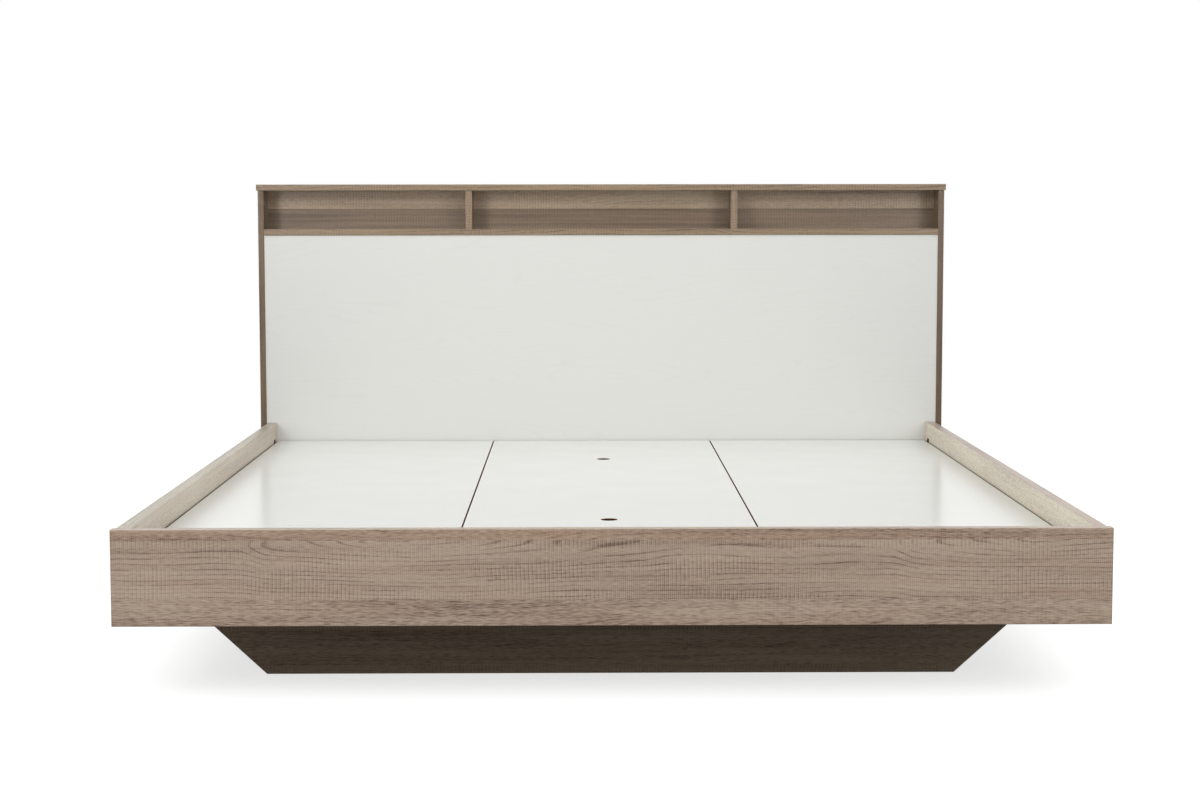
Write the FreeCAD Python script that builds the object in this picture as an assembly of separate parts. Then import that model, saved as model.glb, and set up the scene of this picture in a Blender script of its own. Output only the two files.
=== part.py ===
import FreeCAD, Part
import math
import os

# A double bed with a floating frame, for a mattress of 1800 by 2000 mm.
# Laminated boards make a recessed platform, a tapered plinth and a headboard with a shelf niche.
# +X is to the right as seen from the foot, +Y runs from foot to head, and +Z is up.
# The origin is on the floor, at the middle of the bed's width and length.

# Frame of rails round the mattress
inner_width = 1804.0
inner_length = 2000.0
rail_thickness = 25.0
rail_height = 182.0
floor_clearance = 144.0
footboard_overhang = 7.0
end_block_length = 36.0

# Arrises of every laminated board
arris_radius = 1.0

# Platform boards and the finger holes of the middle one
platform_thickness = 16.0
platform_recess = 51.0
platform_gap = 2.5
finger_hole_diameter = 35.0
finger_hole_inset = 450.0
platform_board_count = 3

# Ledgers that carry the platform's edges
ledger_width = 25.0
ledger_height = 40.0

# Milled pocket at the head end of each rail, for its bolts
pocket_length = 32.0
pocket_depth = 16.0
pocket_height = 84.0
pocket_above_platform = 9.0

# Plinth with four sloping walls
plinth_inset = 252.0
plinth_head_inset = 150.0
plinth_splay_degrees = 38.0
plinth_thickness = 18.0
corner_block_size = 45.0
soffit_thickness = 16.0

# Storage bay inside the plinth
floor_batten_height = 20.0
floor_batten_width = 30.0
floor_thickness = 16.0
floor_gap = 1.0
partition_thickness = 18.0
bay_end_thickness = 16.0
bay_end_setback = 20.0

# Headboard case
headboard_height = 985.0
headboard_overhang = 20.0
case_depth = 100.0
side_thickness = 16.0
top_thickness = 17.0
top_side_overhang = 4.0
top_front_overhang = 3.0
shelf_thickness = 17.0
niche_height = 106.0
niche_back_thickness = 16.0
divider_thickness = 18.0
divider_spacing = 732.0
front_panel_thickness = 16.0
front_panel_recess = 2.0
bottom_rail_thickness = 17.0
bottom_rail_lift = 100.0
upright_thickness = 16.0
back_panel_thickness = 4.0

# Glides under the headboard's sides
glide_radius = 9.0
glide_height = 4.0
glide_pin_radius = 2.0
glide_pin_length = 12.0

# Countersunk wood screws
screw_radius = 2.0
screw_head_radius = 4.0
screw_head_depth = 2.4
screw_tip_length = 4.0
ledger_screw_length = 42.0
platform_screw_length = 50.0
soffit_screw_length = 40.0
bracket_screw_length = 18.0
back_screw_length = 18.0
soffit_screw_inset = 32.0

# Bolts and tee nuts that hold the rails to the headboard
bolt_radius = 4.0
bolt_head_radius = 6.5
bolt_head_height = 5.0
bolt_end_length = 4.0
bolt_spacing = 34.0
bolt_inset = 9.0
bolt_lift = 22.0
nut_flange_radius = 10.0
nut_flange_thickness = 1.8
nut_barrel_radius = 5.2
nut_barrel_length = 9.0

# Steel angle brackets in the foot corners
bracket_leg = 40.0
bracket_thickness = 3.0
bracket_height = 48.0
bracket_screw_edge = 12.0

# Cam fittings and dowels of the flat-pack joints
cam_radius = 7.5
cam_depth = 12.0
cam_setback = 34.0
cam_bolt_radius = 3.5
cam_thread_radius = 2.5
cam_thread_length = 11.0
dowel_radius = 4.0
dowel_in_face = 11.0
dowel_in_edge = 19.0

# Clearance round each fastener in its hole
fit_clearance = 0.1

# Places along a board, as shares of its length
ledger_screw_shares = (0.03, 0.19, 0.345, 0.5, 0.655, 0.81, 0.97)
cross_ledger_screw_shares = (0.06, 0.28, 0.5, 0.72, 0.94)
platform_screw_shares = (0.1, 0.37, 0.63, 0.9)
soffit_dowel_shares = (0.08, 0.36, 0.64, 0.92)
cam_shares = (0.22, 0.78)
middle_share = (0.5,)
divider_dowel_shares = (0.3, 0.7)
bay_dowel_shares = (0.25, 0.75)
back_screw_shares = (0.04, 0.15, 0.27, 0.385, 0.5, 0.615, 0.73, 0.85, 0.96)
upright_screw_shares = (0.33, 0.67)
glide_shares = (0.2, 0.8)

# Heights worked out from the sizes above
rail_top = floor_clearance + rail_height
platform_top = rail_top - platform_recess
platform_under = platform_top - platform_thickness
ledger_under = platform_under - ledger_height
soffit_top = floor_clearance + soffit_thickness
floor_under = floor_batten_height
floor_top = floor_under + floor_thickness
pocket_top = platform_top + pocket_above_platform
pocket_under = pocket_top - pocket_height
top_under = headboard_height - top_thickness
shelf_top = top_under - niche_height
shelf_under = shelf_top - shelf_thickness
bottom_rail_top = bottom_rail_lift + bottom_rail_thickness

# Half widths across the bed
half_inner = inner_width / 2
half_rail = half_inner + rail_thickness
half_foot = half_rail + footboard_overhang
half_case = half_rail + headboard_overhang
half_case_inner = half_case - side_thickness
half_top = half_case + top_side_overhang

# Places along the bed, from foot to head
overall_length = rail_thickness + inner_length - front_panel_recess + case_depth
foot_face = -overall_length / 2
foot_back = foot_face + rail_thickness
head_face = foot_back + inner_length
case_front = head_face - front_panel_recess
case_rear = case_front + case_depth
back_face = case_rear - back_panel_thickness
niche_face = back_face - niche_back_thickness
panel_rear = head_face + front_panel_thickness
block_face = head_face - end_block_length
pocket_face = block_face - pocket_length
foot_ledger_back = foot_back + ledger_width
head_ledger_front = head_face - ledger_width

# The plinth's outline at the floor, and how its walls lean
plinth_slope = math.tan(math.radians(plinth_splay_degrees))
wall_width = plinth_thickness / math.cos(math.radians(plinth_splay_degrees))
plinth_half = half_foot - plinth_inset
plinth_foot = foot_face + plinth_inset
plinth_head = head_face - plinth_head_inset
plinth_middle = (plinth_foot + plinth_head) / 2
plinth_reach = (plinth_head - plinth_foot) / 2
soffit_inner_half = plinth_half + plinth_slope * floor_clearance - wall_width - corner_block_size
soffit_inner_reach = plinth_reach + plinth_slope * floor_clearance - wall_width - corner_block_size

# Directions
UP = FreeCAD.Vector(0, 0, 1)
DOWN = FreeCAD.Vector(0, 0, -1)
TO_HEAD = FreeCAD.Vector(0, 1, 0)
TO_FOOT = FreeCAD.Vector(0, -1, 0)
TO_RIGHT = FreeCAD.Vector(1, 0, 0)
LEFT = -1
RIGHT = 1
FOOT = -1
HEAD = 1


def outward(side):
    """The direction from the bed's middle towards its left or right side."""
    return TO_RIGHT * side


def block(x, y, z):
    """A box between pairs of planes, given in either order."""
    corner = FreeCAD.Vector(min(x), min(y), min(z))
    return Part.makeBox(max(x) - min(x), max(y) - min(y), max(z) - min(z), corner)


def board(x, y, z):
    """A laminated board: a box with its arrises eased."""
    plain = block(x, y, z)
    return plain.makeFillet(arris_radius, plain.Edges)


def along(start, end, shares):
    """Places between two ends, one for each share."""
    return [start + (end - start) * share for share in shares]


def drilled(shape, cutters):
    """The shape with a hole for each fastener that enters it."""
    for cutter in cutters:
        if shape.BoundBox.intersect(cutter.BoundBox):
            shape = shape.cut(cutter)
    return shape


def screw(head, direction, length, grow=0):
    """A countersunk screw whose head ends flush at the point given. grow makes its hole."""
    sink = Part.makeCone(
        screw_head_radius + grow, screw_radius + grow, screw_head_depth, head, direction
    )
    shank = Part.makeCylinder(screw_radius + grow, length - screw_tip_length, head, direction)
    tip_start = head + direction * (length - screw_tip_length)
    tip = Part.makeCone(screw_radius + grow, grow, screw_tip_length + grow, tip_start, direction)
    return sink.fuse([shank, tip]).removeSplitter()


def dowel(meeting, into_edge, grow=0):
    """A beech dowel across a joint: short in the board's face, longer in the other's edge."""
    start = meeting - into_edge * (dowel_in_face + grow)
    return Part.makeCylinder(
        dowel_radius + grow, dowel_in_face + dowel_in_edge + 2 * grow, start, into_edge
    )


def cam_lock(meeting, into_edge, face, thickness, grow=0):
    """The round cam let into a board's face, behind the edge that meets the other board."""
    rim = meeting + into_edge * cam_setback + face * (thickness / 2)
    return Part.makeCylinder(cam_radius + grow, cam_depth + grow, rim, face * -1)


def cam_bolt(meeting, into_edge, grow=0):
    """The bolt that the cam pulls: threaded in the other board, plain in the edge."""
    stem_length = cam_setback - cam_radius - fit_clearance + grow
    stem = Part.makeCylinder(cam_bolt_radius + grow, stem_length, meeting, into_edge)
    thread = Part.makeCylinder(
        cam_thread_radius + grow, cam_thread_length + grow, meeting, into_edge * -1
    )
    return stem.fuse(thread).removeSplitter()


def plinth_point(side, end, x_inset, y_inset, z):
    """A point inside the plinth's sloping outline, set in from its outer faces at a height."""
    spread = plinth_slope * z
    x = side * (plinth_half + spread - x_inset)
    y = plinth_middle + end * (plinth_reach + spread - y_inset)
    return FreeCAD.Vector(x, y, z)


def sloping(corners, low, high):
    """A six-sided solid between two heights. corners holds side, end, x inset and y inset."""
    lower = [plinth_point(*corner, low) for corner in corners]
    upper = [plinth_point(*corner, high) for corner in corners]
    faces = [
        Part.Face(Part.makePolygon([lower[i - 1], lower[i], upper[i], upper[i - 1], lower[i - 1]]))
        for i in range(len(corners))
    ]
    for ring in (lower, upper):
        faces.append(Part.Face(Part.makePolygon(ring + ring[:1])))
    solid = Part.makeSolid(Part.Shell(faces))
    if solid.Volume < 0:
        solid.reverse()
    return solid


# Fasteners. Each function gives one group, and with grow the holes for it.


def ledger_screws(grow=0):
    """Screws through the ledgers into rails, footboard and headboard panel."""
    z = (platform_under + ledger_under) / 2
    found = []
    for side in (LEFT, RIGHT):
        x = side * (half_inner - ledger_width)
        for y in along(foot_ledger_back, pocket_face, ledger_screw_shares):
            head = FreeCAD.Vector(x, y, z)
            found.append(screw(head, outward(side), ledger_screw_length, grow))
    for x in along(-half_inner, half_inner, cross_ledger_screw_shares):
        foot = FreeCAD.Vector(x, foot_ledger_back, z)
        found.append(screw(foot, TO_FOOT, ledger_screw_length, grow))
        head = FreeCAD.Vector(x, head_ledger_front, z)
        length = min(ledger_screw_length, ledger_width + front_panel_thickness - screw_radius)
        found.append(screw(head, TO_HEAD, length, grow))
    return found


def platform_screws(grow=0):
    """Screws from below, through the side ledgers into the two outer platform boards."""
    found = []
    length = min(platform_screw_length, ledger_height + platform_thickness - screw_radius)
    for side in (LEFT, RIGHT):
        x = side * (half_inner - ledger_width / 2)
        for y in along(foot_ledger_back, pocket_face, platform_screw_shares):
            found.append(screw(FreeCAD.Vector(x, y, ledger_under), UP, length, grow))
    return found


def soffit_dowels(grow=0):
    """Dowels from the rails and footboard into the edges of the soffit boards."""
    z = floor_clearance + soffit_thickness / 2
    found = []
    for side in (LEFT, RIGHT):
        for y in along(foot_back, block_face, soffit_dowel_shares):
            meeting = FreeCAD.Vector(side * half_inner, y, z)
            found.append(dowel(meeting, outward(side) * -1, grow))
    for x in along(-soffit_inner_half, soffit_inner_half, soffit_dowel_shares):
        found.append(dowel(FreeCAD.Vector(x, foot_back, z), TO_HEAD, grow))
    return found


def soffit_screws(grow=0):
    """Screws down through the soffit boards into the plinth's corner blocks."""
    inset = wall_width + soffit_screw_inset
    found = []
    for side in (LEFT, RIGHT):
        for end in (FOOT, HEAD):
            head = plinth_point(side, end, inset, inset, floor_clearance) + UP * soffit_thickness
            found.append(screw(head, DOWN, soffit_screw_length, grow))
    return found


def bracket_places():
    """Each foot bracket's screws: side, direction, and the offset along its two legs."""
    low = soffit_top + (ledger_under - soffit_top - bracket_height) / 2
    heights = (low + bracket_screw_edge, low + bracket_height - bracket_screw_edge)
    reach = bracket_leg - bracket_screw_edge
    places = []
    for side in (LEFT, RIGHT):
        inner = side * (half_inner - bracket_thickness)
        for z in heights:
            on_rail = FreeCAD.Vector(inner, foot_back + reach, z)
            places.append((on_rail, outward(side)))
            x = side * (half_inner - reach)
            on_foot = FreeCAD.Vector(x, foot_back + bracket_thickness, z)
            places.append((on_foot, TO_FOOT))
    return places


def bracket_screws(grow=0):
    """Short screws of the two angle brackets."""
    return [screw(head, way, bracket_screw_length, grow) for head, way in bracket_places()]


def bolt_places():
    """Where the rail bolts' heads bear on the end blocks."""
    places = []
    for side in (LEFT, RIGHT):
        for step in range(2):
            z = pocket_under + bolt_lift + bolt_spacing * step
            places.append(FreeCAD.Vector(side * (half_inner + bolt_inset), block_face, z))
    return places


def rail_bolts(grow=0):
    """Bolts from each rail's pocket through the end block into the headboard."""
    reach = panel_rear - block_face + nut_flange_thickness + bolt_end_length
    found = []
    for place in bolt_places():
        head = Part.makeCylinder(bolt_head_radius, bolt_head_height, place, TO_FOOT)
        shank = Part.makeCylinder(bolt_radius + grow, reach, place, TO_HEAD)
        found.append(head.fuse(shank).removeSplitter())
    return found


def tee_nuts(grow=0):
    """Tee nuts let into the back of the headboard's front panel."""
    found = []
    for place in bolt_places():
        seat = FreeCAD.Vector(place.x, panel_rear, place.z)
        flange = Part.makeCylinder(nut_flange_radius, nut_flange_thickness, seat, TO_HEAD)
        barrel = Part.makeCylinder(nut_barrel_radius + grow, nut_barrel_length + grow, seat, TO_FOOT)
        bore_start = seat - TO_HEAD * nut_barrel_length
        bore_length = nut_barrel_length + nut_flange_thickness
        bore = Part.makeCylinder(bolt_radius + fit_clearance, bore_length, bore_start, TO_HEAD)
        nut = flange.fuse(barrel).removeSplitter()
        found.append(nut if grow else nut.cut(bore))
    return found


def cam_places():
    """Each cam joint: meeting point, way into the edge, face of the cam, board thickness."""
    places = []
    for side in (LEFT, RIGHT):
        inward = outward(side) * -1
        for y in along(case_front, back_face, cam_shares):
            shelf = FreeCAD.Vector(side * half_case_inner, y, (shelf_top + shelf_under) / 2)
            places.append((shelf, inward, DOWN, shelf_thickness))
            rail_z = (bottom_rail_top + bottom_rail_lift) / 2
            rail = FreeCAD.Vector(side * half_case_inner, y, rail_z)
            places.append((rail, inward, DOWN, bottom_rail_thickness))
            side_x = side * (half_case - side_thickness / 2)
            top = FreeCAD.Vector(side_x, y, top_under)
            places.append((top, DOWN, inward, side_thickness))
    return places


def cam_locks(grow=0):
    """The cams of the headboard's flat-pack joints."""
    return [cam_lock(*place, grow) for place in cam_places()]


def cam_bolts(grow=0):
    """The bolts that those cams pull tight."""
    return [cam_bolt(meeting, into_edge, grow) for meeting, into_edge, _, _ in cam_places()]


def headboard_dowels(grow=0):
    """Dowels of the shelf, bottom rail, dividers and uprights."""
    found = []
    middle_y = along(case_front, back_face, middle_share)
    upright_y = along(panel_rear, back_face, middle_share)
    for side in (LEFT, RIGHT):
        inward = outward(side) * -1
        for y in middle_y:
            for z in ((shelf_top + shelf_under) / 2, (bottom_rail_top + bottom_rail_lift) / 2):
                found.append(dowel(FreeCAD.Vector(side * half_case_inner, y, z), inward, grow))
        x = side * divider_spacing / 2
        for y in along(case_front, niche_face, divider_dowel_shares):
            found.append(dowel(FreeCAD.Vector(x, y, shelf_top), UP, grow))
            found.append(dowel(FreeCAD.Vector(x, y, top_under), DOWN, grow))
        for y in upright_y:
            found.append(dowel(FreeCAD.Vector(x, y, bottom_rail_top), UP, grow))
    return found


def bay_dowels(grow=0):
    """Dowels from the partitions into the storage bay's end boards."""
    half_bay = partition_middle() - partition_thickness / 2
    found = []
    for side in (LEFT, RIGHT):
        for y in bay_end_middles():
            for z in along(floor_top, platform_under, bay_dowel_shares):
                meeting = FreeCAD.Vector(side * half_bay, y, z)
                found.append(dowel(meeting, outward(side) * -1, grow))
    return found


def back_screws(grow=0):
    """Small screws round the headboard's back panel."""
    places = []
    for x in along(-half_case_inner, half_case_inner, back_screw_shares):
        for z in ((shelf_top + shelf_under) / 2, (bottom_rail_top + bottom_rail_lift) / 2):
            places.append((x, z))
    for side in (LEFT, RIGHT):
        for z in along(bottom_rail_top, shelf_under, upright_screw_shares):
            places.append((side * divider_spacing / 2, z))
    return [
        screw(FreeCAD.Vector(x, case_rear, z), TO_FOOT, back_screw_length, grow)
        for x, z in places
    ]


def glides(grow=0):
    """Nail-on glides under the headboard's sides."""
    found = []
    for side in (LEFT, RIGHT):
        for y in along(case_front, case_rear, glide_shares):
            base = FreeCAD.Vector(side * (half_case - side_thickness / 2), y, 0)
            disc = Part.makeCylinder(glide_radius, glide_height, base, UP)
            seat = base + UP * glide_height
            pin = Part.makeCylinder(glide_pin_radius + grow, glide_pin_length + grow, seat, UP)
            found.append(disc.fuse(pin).removeSplitter())
    return found


# Frame of rails


def footboard():
    """The board across the foot, a little wider than the rails."""
    holes = ledger_screws(fit_clearance) + soffit_dowels(fit_clearance)
    holes += bracket_screws(fit_clearance)
    plain = board((-half_foot, half_foot), (foot_face, foot_back), (floor_clearance, rail_top))
    return drilled(plain, holes)


def side_rail(side):
    """A side rail, from the footboard to its end block, with the bolt pocket milled inside."""
    x = (side * half_inner, side * half_rail)
    plain = board(x, (foot_back, block_face), (floor_clearance, rail_top))
    pocket_x = (side * (half_inner - arris_radius), side * (half_inner + pocket_depth))
    pocket_y = (pocket_face, block_face + arris_radius)
    plain = plain.cut(block(pocket_x, pocket_y, (pocket_under, pocket_top)))
    holes = ledger_screws(fit_clearance) + soffit_dowels(fit_clearance)
    holes += bracket_screws(fit_clearance)
    return drilled(plain, holes)


def end_block(side):
    """The block that ends a rail at the headboard, flush with both of the rail's faces."""
    x = (side * half_inner, side * half_rail)
    plain = board(x, (block_face, head_face), (floor_clearance, rail_top))
    return drilled(plain, rail_bolts(fit_clearance))


def side_ledger(side):
    """The ledger along a rail, from the foot ledger to the bolt pocket."""
    x = (side * half_inner, side * (half_inner - ledger_width))
    plain = block(x, (foot_ledger_back, pocket_face), (ledger_under, platform_under))
    return drilled(plain, ledger_screws(fit_clearance) + platform_screws(fit_clearance))


def foot_ledger():
    """The ledger across the footboard."""
    y = (foot_back, foot_ledger_back)
    plain = block((-half_inner, half_inner), y, (ledger_under, platform_under))
    return drilled(plain, ledger_screws(fit_clearance))


def head_ledger():
    """The ledger across the headboard's front panel."""
    y = (head_ledger_front, head_face)
    plain = block((-half_inner, half_inner), y, (ledger_under, platform_under))
    return drilled(plain, ledger_screws(fit_clearance))


def foot_brackets():
    """Two steel angles in the corners of footboard and rails."""
    low = soffit_top + (ledger_under - soffit_top - bracket_height) / 2
    z = (low, low + bracket_height)
    found = []
    for side in (LEFT, RIGHT):
        inner = side * half_inner
        on_rail = block(
            (inner, inner - side * bracket_thickness), (foot_back, foot_back + bracket_leg), z
        )
        on_foot = block(
            (inner, inner - side * bracket_leg), (foot_back, foot_back + bracket_thickness), z
        )
        angle = on_rail.fuse(on_foot).removeSplitter()
        found.append(drilled(angle, bracket_screws(fit_clearance)))
    return found


# Platform


def platform_width():
    """The width of one board: three boards and four gaps fill the frame."""
    return (inner_width - platform_gap * (platform_board_count + 1)) / platform_board_count


def platform_board(place):
    """One of the three boards: -1 is the left one, 0 the middle and 1 the right."""
    width = platform_width()
    middle = place * (width + platform_gap)
    x = (middle - width / 2, middle + width / 2)
    y = (foot_back + platform_gap, head_face - platform_gap)
    plain = board(x, y, (platform_under, platform_top))
    return drilled(plain, platform_screws(fit_clearance))


def middle_platform_board():
    """The loose middle board, with a finger hole near each end."""
    plain = platform_board(0)
    for y in finger_hole_places():
        start = FreeCAD.Vector(0, y, platform_under)
        plain = plain.cut(Part.makeCylinder(finger_hole_diameter / 2, platform_thickness, start, UP))
    return plain


def finger_hole_places():
    """Where the finger holes lie along the bed."""
    foot_end = foot_back + platform_gap + finger_hole_inset
    head_end = head_face - platform_gap - finger_hole_inset
    return (foot_end, head_end)


# Plinth


def plinth_wall(first, second):
    """A sloping wall between two corners of the plinth, mitred at both ends."""
    outer = [(*first, 0, 0), (*second, 0, 0)]
    inner = [(*second, wall_width, wall_width), (*first, wall_width, wall_width)]
    return sloping(outer + inner, 0, floor_clearance)


def corner_block(side, end):
    """A block glued in a corner of the plinth, above the storage floor."""
    near = wall_width
    far = wall_width + corner_block_size
    corners = [(side, end, near, near), (side, end, far, near)]
    corners += [(side, end, far, far), (side, end, near, far)]
    return drilled(sloping(corners, floor_top, floor_clearance), soffit_screws(fit_clearance))


def floor_batten(side):
    """A batten along a side wall, which carries the storage floor."""
    near = wall_width
    far = wall_width + floor_batten_width
    corners = [(side, FOOT, near, near), (side, FOOT, far, near)]
    corners += [(side, HEAD, far, near), (side, HEAD, near, near)]
    return sloping(corners, 0, floor_batten_height)


def storage_floor():
    """The board that closes the bottom of the plinth."""
    inset = wall_width + floor_gap
    low = plinth_point(LEFT, FOOT, inset, inset, floor_under)
    high = plinth_point(RIGHT, HEAD, inset, inset, floor_under)
    return block((low.x, high.x), (low.y, high.y), (floor_under, floor_top))


def side_soffit(side):
    """The board under the frame, from a rail to the plinth's side wall."""
    x = (side * half_inner, side * soffit_inner_half)
    plain = block(x, (foot_back, head_face), (floor_clearance, soffit_top))
    return drilled(plain, soffit_dowels(fit_clearance) + soffit_screws(fit_clearance))


def end_soffit(end):
    """The board under the frame, from the plinth's end wall to the footboard or headboard."""
    outer = foot_back if end == FOOT else head_face
    inner = plinth_middle + end * soffit_inner_reach
    x = (-soffit_inner_half, soffit_inner_half)
    plain = block(x, (outer, inner), (floor_clearance, soffit_top))
    return drilled(plain, soffit_dowels(fit_clearance))


# Storage bay under the middle board


def partition_middle():
    """How far each partition lies from the middle: under a joint of the platform."""
    return (platform_width() + platform_gap) / 2


def partition_low_end(end):
    """Where the lower part of a partition ends: clear of the sloping wall and the soffit."""
    at_wall = plinth_reach + plinth_slope * floor_top - wall_width
    return plinth_middle + end * (min(at_wall, soffit_inner_reach) - floor_gap)


def bay_end_middles():
    """The middles of the storage bay's two end boards."""
    setback = bay_end_setback + bay_end_thickness / 2
    return [partition_low_end(end) - end * setback for end in (FOOT, HEAD)]


def partition(side):
    """A board on edge under a joint of the platform, notched over the soffit at both ends."""
    foot_low = partition_low_end(FOOT)
    head_low = partition_low_end(HEAD)
    outline = [
        (foot_low, floor_top),
        (foot_low, soffit_top),
        (foot_ledger_back, soffit_top),
        (foot_ledger_back, platform_under),
        (head_ledger_front, platform_under),
        (head_ledger_front, soffit_top),
        (head_low, soffit_top),
        (head_low, floor_top),
    ]
    x = side * partition_middle() - partition_thickness / 2
    points = [FreeCAD.Vector(x, y, z) for y, z in outline]
    face = Part.Face(Part.makePolygon(points + points[:1]))
    return drilled(face.extrude(TO_RIGHT * partition_thickness), bay_dowels(fit_clearance))


def bay_end(end):
    """An end board of the storage bay, between the partitions."""
    half = partition_middle() - partition_thickness / 2
    middle = bay_end_middles()[0 if end == FOOT else 1]
    y = (middle - bay_end_thickness / 2, middle + bay_end_thickness / 2)
    plain = block((-half, half), y, (floor_top, platform_under))
    return drilled(plain, bay_dowels(fit_clearance))


# Headboard


def headboard_side(side):
    """A side of the headboard case, from its glides to the top board."""
    x = (side * half_case_inner, side * half_case)
    plain = board(x, (case_front, case_rear), (glide_height, top_under))
    holes = cam_locks(fit_clearance) + cam_bolts(fit_clearance)
    holes += headboard_dowels(fit_clearance) + glides(fit_clearance)
    return drilled(plain, holes)


def headboard_top():
    """The top board, which oversails the sides and the front a little."""
    y = (case_front - top_front_overhang, case_rear)
    plain = board((-half_top, half_top), y, (top_under, headboard_height))
    return drilled(plain, cam_bolts(fit_clearance) + headboard_dowels(fit_clearance))


def headboard_shelf():
    """The floor of the niche, which also caps the front panel."""
    x = (-half_case_inner, half_case_inner)
    plain = board(x, (case_front, back_face), (shelf_under, shelf_top))
    holes = cam_locks(fit_clearance) + cam_bolts(fit_clearance)
    holes += headboard_dowels(fit_clearance) + back_screws(fit_clearance)
    return drilled(plain, holes)


def niche_divider(side):
    """An upright between the niche's compartments."""
    middle = side * divider_spacing / 2
    x = (middle - divider_thickness / 2, middle + divider_thickness / 2)
    plain = board(x, (case_front, niche_face), (shelf_top, top_under))
    return drilled(plain, headboard_dowels(fit_clearance))


def niche_back():
    """The board behind the niche."""
    x = (-half_case_inner, half_case_inner)
    return block(x, (niche_face, back_face), (shelf_top, top_under))


def front_panel():
    """The white panel between the sides, under the shelf."""
    x = (-half_case_inner, half_case_inner)
    plain = board(x, (head_face, panel_rear), (bottom_rail_top, shelf_under))
    holes = rail_bolts(fit_clearance) + tee_nuts(fit_clearance) + ledger_screws(fit_clearance)
    return drilled(plain, holes)


def bottom_rail():
    """The board that closes the bottom of the headboard case."""
    x = (-half_case_inner, half_case_inner)
    plain = board(x, (case_front, back_face), (bottom_rail_lift, bottom_rail_top))
    holes = cam_locks(fit_clearance) + cam_bolts(fit_clearance)
    holes += headboard_dowels(fit_clearance) + back_screws(fit_clearance)
    return drilled(plain, holes)


def upright(side):
    """A stiffener inside the headboard, in line with a niche divider."""
    middle = side * divider_spacing / 2
    x = (middle - upright_thickness / 2, middle + upright_thickness / 2)
    plain = block(x, (panel_rear, back_face), (bottom_rail_top, shelf_under))
    return drilled(plain, headboard_dowels(fit_clearance) + back_screws(fit_clearance))


def back_panel():
    """The thin board that closes the back of the headboard."""
    x = (-half_case_inner, half_case_inner)
    plain = block(x, (back_face, case_rear), (bottom_rail_lift, top_under))
    return drilled(plain, back_screws(fit_clearance))


# Every piece by its name
pieces = {
    "footboard": footboard(),
    "side_rail_left": side_rail(LEFT),
    "side_rail_right": side_rail(RIGHT),
    "rail_end_block_left": end_block(LEFT),
    "rail_end_block_right": end_block(RIGHT),
    "side_ledger_left": side_ledger(LEFT),
    "side_ledger_right": side_ledger(RIGHT),
    "foot_ledger": foot_ledger(),
    "head_ledger": head_ledger(),
    "foot_corner_brackets": foot_brackets(),
    "platform_board_left": platform_board(LEFT),
    "platform_board_middle": middle_platform_board(),
    "platform_board_right": platform_board(RIGHT),
    "plinth_front": plinth_wall((LEFT, FOOT), (RIGHT, FOOT)),
    "plinth_side_left": plinth_wall((LEFT, HEAD), (LEFT, FOOT)),
    "plinth_side_right": plinth_wall((RIGHT, FOOT), (RIGHT, HEAD)),
    "plinth_back": plinth_wall((RIGHT, HEAD), (LEFT, HEAD)),
    "plinth_corner_block_front_left": corner_block(LEFT, FOOT),
    "plinth_corner_block_front_right": corner_block(RIGHT, FOOT),
    "plinth_corner_block_back_left": corner_block(LEFT, HEAD),
    "plinth_corner_block_back_right": corner_block(RIGHT, HEAD),
    "floor_batten_left": floor_batten(LEFT),
    "floor_batten_right": floor_batten(RIGHT),
    "storage_floor": storage_floor(),
    "soffit_board_left": side_soffit(LEFT),
    "soffit_board_right": side_soffit(RIGHT),
    "soffit_board_foot": end_soffit(FOOT),
    "soffit_board_head": end_soffit(HEAD),
    "storage_partition_left": partition(LEFT),
    "storage_partition_right": partition(RIGHT),
    "storage_end_board_foot": bay_end(FOOT),
    "storage_end_board_head": bay_end(HEAD),
    "headboard_side_left": headboard_side(LEFT),
    "headboard_side_right": headboard_side(RIGHT),
    "headboard_top": headboard_top(),
    "headboard_shelf": headboard_shelf(),
    "niche_divider_left": niche_divider(LEFT),
    "niche_divider_right": niche_divider(RIGHT),
    "niche_back_panel": niche_back(),
    "headboard_front_panel": front_panel(),
    "headboard_bottom_rail": bottom_rail(),
    "headboard_upright_left": upright(LEFT),
    "headboard_upright_right": upright(RIGHT),
    "headboard_back_panel": back_panel(),
    "headboard_glides": glides(),
    "ledger_screws": ledger_screws(),
    "platform_screws": platform_screws(),
    "soffit_dowels": soffit_dowels(),
    "soffit_screws": soffit_screws(),
    "bracket_screws": bracket_screws(),
    "rail_bolts": rail_bolts(),
    "rail_tee_nuts": tee_nuts(),
    "cam_locks": cam_locks(),
    "cam_bolts": cam_bolts(),
    "headboard_dowels": headboard_dowels(),
    "storage_bay_dowels": bay_dowels(),
    "back_panel_screws": back_screws(),
}

os.makedirs("parts", exist_ok=True)
for name, piece in pieces.items():
    shape = Part.makeCompound(piece) if isinstance(piece, list) else piece
    shape.exportStep("parts/" + name + ".step")
    print(name, len(shape.Solids), round(shape.Volume))
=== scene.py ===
import math
from functools import partial

import bmesh
import bpy
from mathutils import Matrix, Vector


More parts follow.
